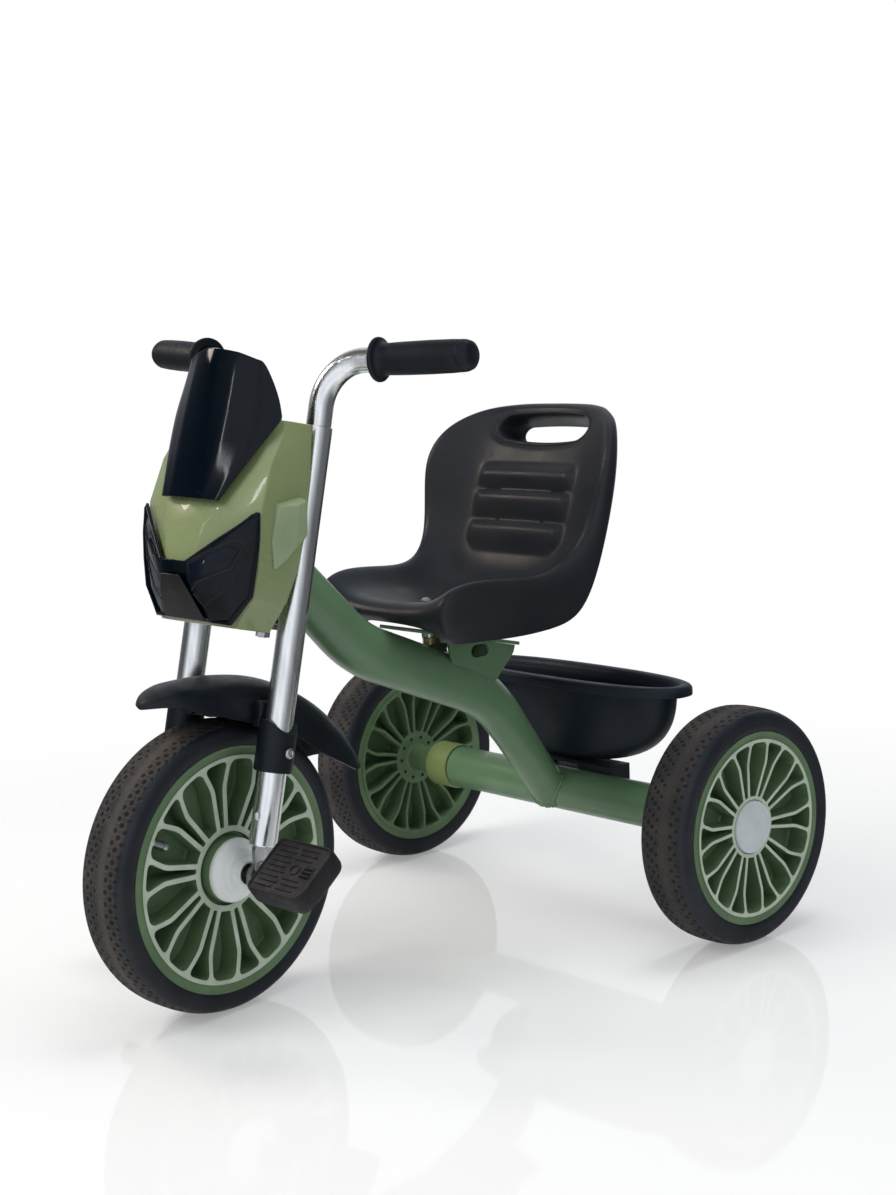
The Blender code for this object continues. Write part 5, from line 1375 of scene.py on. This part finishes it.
def slot_ring(tree):
    """The wall of the hand slot: a flared ring from the front surface through to the back."""
    line = []
    for k in range(25):
        a = math.pi / 2 + math.pi * k / 24
        line.append((-SLOT_HALF, math.cos(a), math.sin(a)))
    line += [(-SLOT_HALF + 2 * SLOT_HALF * k / 16, 0.0, -1.0) for k in range(1, 16)]
    for k in range(25):
        a = -math.pi / 2 + math.pi * k / 24
        line.append((SLOT_HALF, math.cos(a), math.sin(a)))
    line += [(SLOT_HALF - 2 * SLOT_HALF * k / 16, 0.0, 1.0) for k in range(1, 16)]
    heights = []
    for x0, cx, cy in line:
        probe_x = x0 + cx * 0.0172
        probe = SLOT_CENTRE + Vector((probe_x, 0, 0)) + SLOT_UP * cy * 0.0172 * slot_taper(probe_x)
        hit = tree.ray_cast(probe + SLOT_AXIS * 0.05, -SLOT_AXIS)
        heights.append((hit[0] - SLOT_CENTRE).dot(SLOT_AXIS) if hit[0] else 0.006)
    count = len(line)
    smooth = [sum(heights[(i + k) % count] for k in range(-4, 5)) / 9 for i in range(count)]
    section = (
        (0.0188, -0.0030, True), (0.0178, 0.0000, True), (0.0164, 0.0007, True), (0.0150, 0.0003, True),
        (0.0138, -0.0016, True), (0.0122, -0.0060, True), (0.0098, -0.0115, False),
        (0.0088, -0.0135, False), (0.0098, -0.0148, False), (0.0150, -0.0140, False),
    )
    verts = []
    for i, (x0, cx, cy) in enumerate(line):
        for radius, level, on_front in section:
            c = smooth[i] + level if on_front else min(smooth[i] - 0.006, 0.0) + level + 0.002
            x = x0 + cx * radius
            high = cy * radius * slot_taper(x)
            verts.append(SLOT_CENTRE + Vector((x, 0, 0)) + SLOT_UP * high + SLOT_AXIS * c)
    faces = grid_faces(count, len(section), closed_rows=True, closed_columns=True)
    data = mesh_of("slot_ring", verts, faces, None, 180)
    return evaluated("slot_ring", data, smoother(2))


# The basket


def basket():
    long_half, short_half = BASKET_HALF
    line = [
        (0.0, 0.0, -0.0070), (0.0, 0.0, -0.0012), (0.0012, 0.0012, 0.0), (0.0050, 0.0050, 0.0004),
        (0.0072, 0.0070, -0.0004), (0.0098, 0.0086, -0.0030), (0.0115, 0.0095, -0.0062),
    ]
    line = rounded(line, 0.0012, 3)
    rows = [(long_half - a, short_half - b, BASKET_RIM_Z + z) for a, b, z in line]
    power = 2.6
    for k in range(1, 41):
        turn = k / 40 * math.pi / 2
        share = math.sin(turn) ** (2 / power) if k < 40 else 1.0
        share = max(share, 0.09)
        shrink = max(math.cos(turn), 0.0) ** (2 / power)
        length = max((long_half - 0.0125) * shrink, (long_half - 0.013) * 0.04)
        taper = 1.0 if shrink > 0.3 else max(shrink / 0.3, 0.05)
        depth = (short_half - 0.0098) * (0.35 + 0.65 * shrink) * taper
        rows.append((length, depth, BASKET_RIM_Z - BASKET_DEPTH * share))
    rows = [rows[i] for i in range(len(rows)) if i == 0 or rows[i] != rows[i - 1]]
    verts, count = [], 144
    for length, depth, z in rows:
        for c, s in circle(count):
            x = math.copysign(abs(c) ** (2 / 2.4), c) * length
            y = math.copysign(abs(s) ** (2 / 2.4), s) * depth
            verts.append((x, 0.0233 + y, z))
    faces = grid_faces(len(rows), count, closed_rows=True)
    faces.append(tuple(range(len(verts) - count, len(verts))))
    data = mesh_of("basket", verts, faces, None, 60)
    low = min(data.polygons, key=lambda f: f.center.z)
    if low.normal.z > 0:
        data.flip_normals()
    data = evaluated("basket", data, wall(0.0022), soft_edges(0.0007, 2, 50))
    piece("basket_moulded", data, BASKET, REAR, "frame", "seat_black", "basket")


# The CAD nodes that keep their shape


KEPT_NODES = (
    (STEEL, 0.0005, ("left_dropout", "right_dropout", "lower_crown", "upper_crown")),
    (STEEL, 0.0004, ("steering_stem", "stem_nut", "rear_axle")),
    (STEEL, 0.0003, ("seat_bolt_front", "seat_bolt_rear")),
    (GUARD, 0.0004, ("left_axle_bush", "right_axle_bush", "lower_head_bush", "upper_head_bush")),
    (FRAME_GREEN, 0.0004, ("head_tube",)),
    (FRAME_GREEN, 0.0006, ("seat_bracket",)),
    (ZINC, 0.0004, ("seat_nut_front", "seat_nut_rear")),
    (BASKET, 0.0010, ("basket_bracket",)),
)


def keep_nodes():
    """Gives the CAD nodes that stay visible their material and small bevels."""
    for finish, width, names in KEPT_NODES:
        for name in names:
            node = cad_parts[name]
            for slot in node.material_slots:
                slot.material = finish
            node.modifiers.new("weld", "WELD").merge_threshold = 0.00001
            edge = node.modifiers.new("edge", "BEVEL")
            edge.width = width
            edge.segments = 2
            edge.limit_method = "ANGLE"
            edge.angle_limit = math.radians(40)
            edge.harden_normals = True


# The stage


def floor():
    """A pale glossy floor that fades out with the distance from the middle."""
    made = Finish("pale_floor")
    tone = made.span(made.noise(1.3, 2.0), 0.3, 0.7)
    made.done(made.mix(tone, (0.90, 0.905, 0.91, 1), (0.92, 0.922, 0.925, 1)), 0.04)
    far = made.node("VectorMath", {0: made.coords}, "Value", operation="LENGTH")
    fade = made.span(far, 0.36, 1.0, 0.26, 1.0)
    clear = made.node("BsdfTransparent", {}, "BSDF")
    blend = made.node("MixShader", {"Fac": fade, 1: made.shader.outputs["BSDF"], 2: clear}, "Shader")
    connect(made.tree, made.tree.nodes["Material Output"], {"Surface": blend})
    verts = [(x * 3.0, y * 3.0, 0.0) for y in (-1, 1) for x in (-1, 1)]
    data = mesh_of("floor", verts, [(0, 1, 3, 2)])
    data.materials.append(made.made)
    ground = add_object("floor", data)
    ground.location.z = CAD_BOX[0][2] - 0.0001


def area(name, place, aim, size, power, colour=(1, 1, 1), shines=True):
    """A lamp that the camera doesn't see. One that shines shows in glossy surfaces."""
    lamp = bpy.data.lights.new(name, "AREA")
    lamp.shape = "RECTANGLE"
    lamp.size, lamp.size_y = size
    lamp.energy = power
    lamp.color = colour
    made = add_object(name, lamp)
    made.location = place
    made.rotation_euler = (Vector(aim) - Vector(place)).to_track_quat("-Z", "Y").to_euler()
    made.visible_glossy = shines
    made.visible_camera = False


# The brightness that glossy surfaces see round the horizon, as (share of a turn, grey value)
HORIZON = (
    (0.0, 0.14), (0.05, 0.10), (0.16, 0.08), (0.22, 0.35), (0.27, 1.0), (0.33, 0.85), (0.40, 1.0),
    (0.47, 0.45), (0.56, 0.12), (0.72, 0.10), (0.82, 0.66), (0.91, 0.70), (1.0, 0.20),
)


def studio():
    centre = (0.0, -0.02, 0.22)
    area("key", (-0.9, -2.1, 1.9), centre, (1.2, 1.2), 34.0, (1.0, 0.985, 0.96), False)
    area("warm", (-0.80, -0.52, 1.02), (0.0, 0.18, 0.36), (0.36, 0.26), 3.4, (1.0, 0.86, 0.74))
    area("spark", (-0.70, -1.38, 1.66), centre, (0.06, 0.04), 0.45)
    area("streak", (0.0, -1.85, 1.36), (0.03, -0.17, 0.45), (0.05, 0.3), 0.8)
    area("fill", (2.2, 0.2, 1.2), centre, (1.4, 1.0), 5.4, (0.94, 0.98, 1.0), False)
    area("top", (0.2, 0.5, 2.2), centre, (1.1, 1.1), 18.0, shines=False)
    surroundings()


def surroundings():
    """A white background for the camera, soft light for the rest and the horizon for glossy rays."""
    world = bpy.data.worlds.new("studio")
    bpy.context.scene.world = world
    world.use_nodes = True
    tree = world.node_tree
    tree.nodes.clear()

    def node(kind, inputs, **settings):
        return add_node(tree, kind, inputs, **settings).outputs

    split = node("SeparateXYZ", {"Vector": node("TexCoord", {})["Generated"]})
    turn = node("Math", {0: split["Y"], 1: split["X"]}, operation="ARCTAN2")
    share = node("MapRange", {"From Min": -math.pi, "From Max": math.pi, "Value": turn["Value"]})
    ramp = add_node(tree, "ValToRGB", {"Fac": share["Result"]})
    stops = ramp.color_ramp.elements
    while len(stops) < len(HORIZON):
        stops.new(0.5)
    for stop, (at, value) in zip(stops, HORIZON):
        stop.position = at
        stop.color = (value * 0.96, value, value * 1.05, 1)
    shine = node("Background", {"Color": ramp.outputs["Color"]})
    lit = node("Background", {"Color": (0.95, 0.98, 1.0, 1), "Strength": 0.48})
    seen = node("Background", {"Color": (1, 1, 1, 1)})
    path = node("LightPath", {})
    glossy = node("MixShader", {"Fac": path["Is Glossy Ray"], 1: lit["Background"], 2: shine["Background"]})
    either = node("Math", {0: path["Is Camera Ray"], 1: path["Is Transmission Ray"]}, operation="MAXIMUM")
    direct = node("MixShader", {"Fac": either["Value"], 1: glossy["Shader"], 2: seen["Background"]})
    node("OutputWorld", {"Surface": direct["Shader"]})


CAMERA_AT = (1.1907, -1.2058 + REAR_AXLE_Y, 0.525)
CAMERA_TURN, CAMERA_DOWN, CAMERA_ROLL = (math.radians(angle) for angle in (47.76, 90 - 8.24, -2.52))
SENSOR_MM, LENS_MM = 36.0, 56.75


def camera():
    """Stands where the photograph was taken from, with its lens."""
    lens = bpy.data.cameras.new("camera")
    lens.sensor_width = SENSOR_MM
    lens.lens = LENS_MM
    made = add_object("camera", lens)
    turn = Matrix.Rotation(CAMERA_TURN, 4, "Z") @ Matrix.Rotation(CAMERA_DOWN, 4, "X")
    made.matrix_world = Matrix.Translation(CAMERA_AT) @ turn @ Matrix.Rotation(CAMERA_ROLL, 4, "Z")
    bpy.context.scene.camera = made


tyres()
front_rim()
for side, word in SIDES:
    rear_rim(side, word)
    pedal(side, word)
crank()
fork()
fairing()
mudguard()
main_tube()
axle_tube()
seat_plate()
seat()
basket()
keep_nodes()
floor()
studio()
camera()
bpy.context.scene.view_settings.view_transform = "Standard"
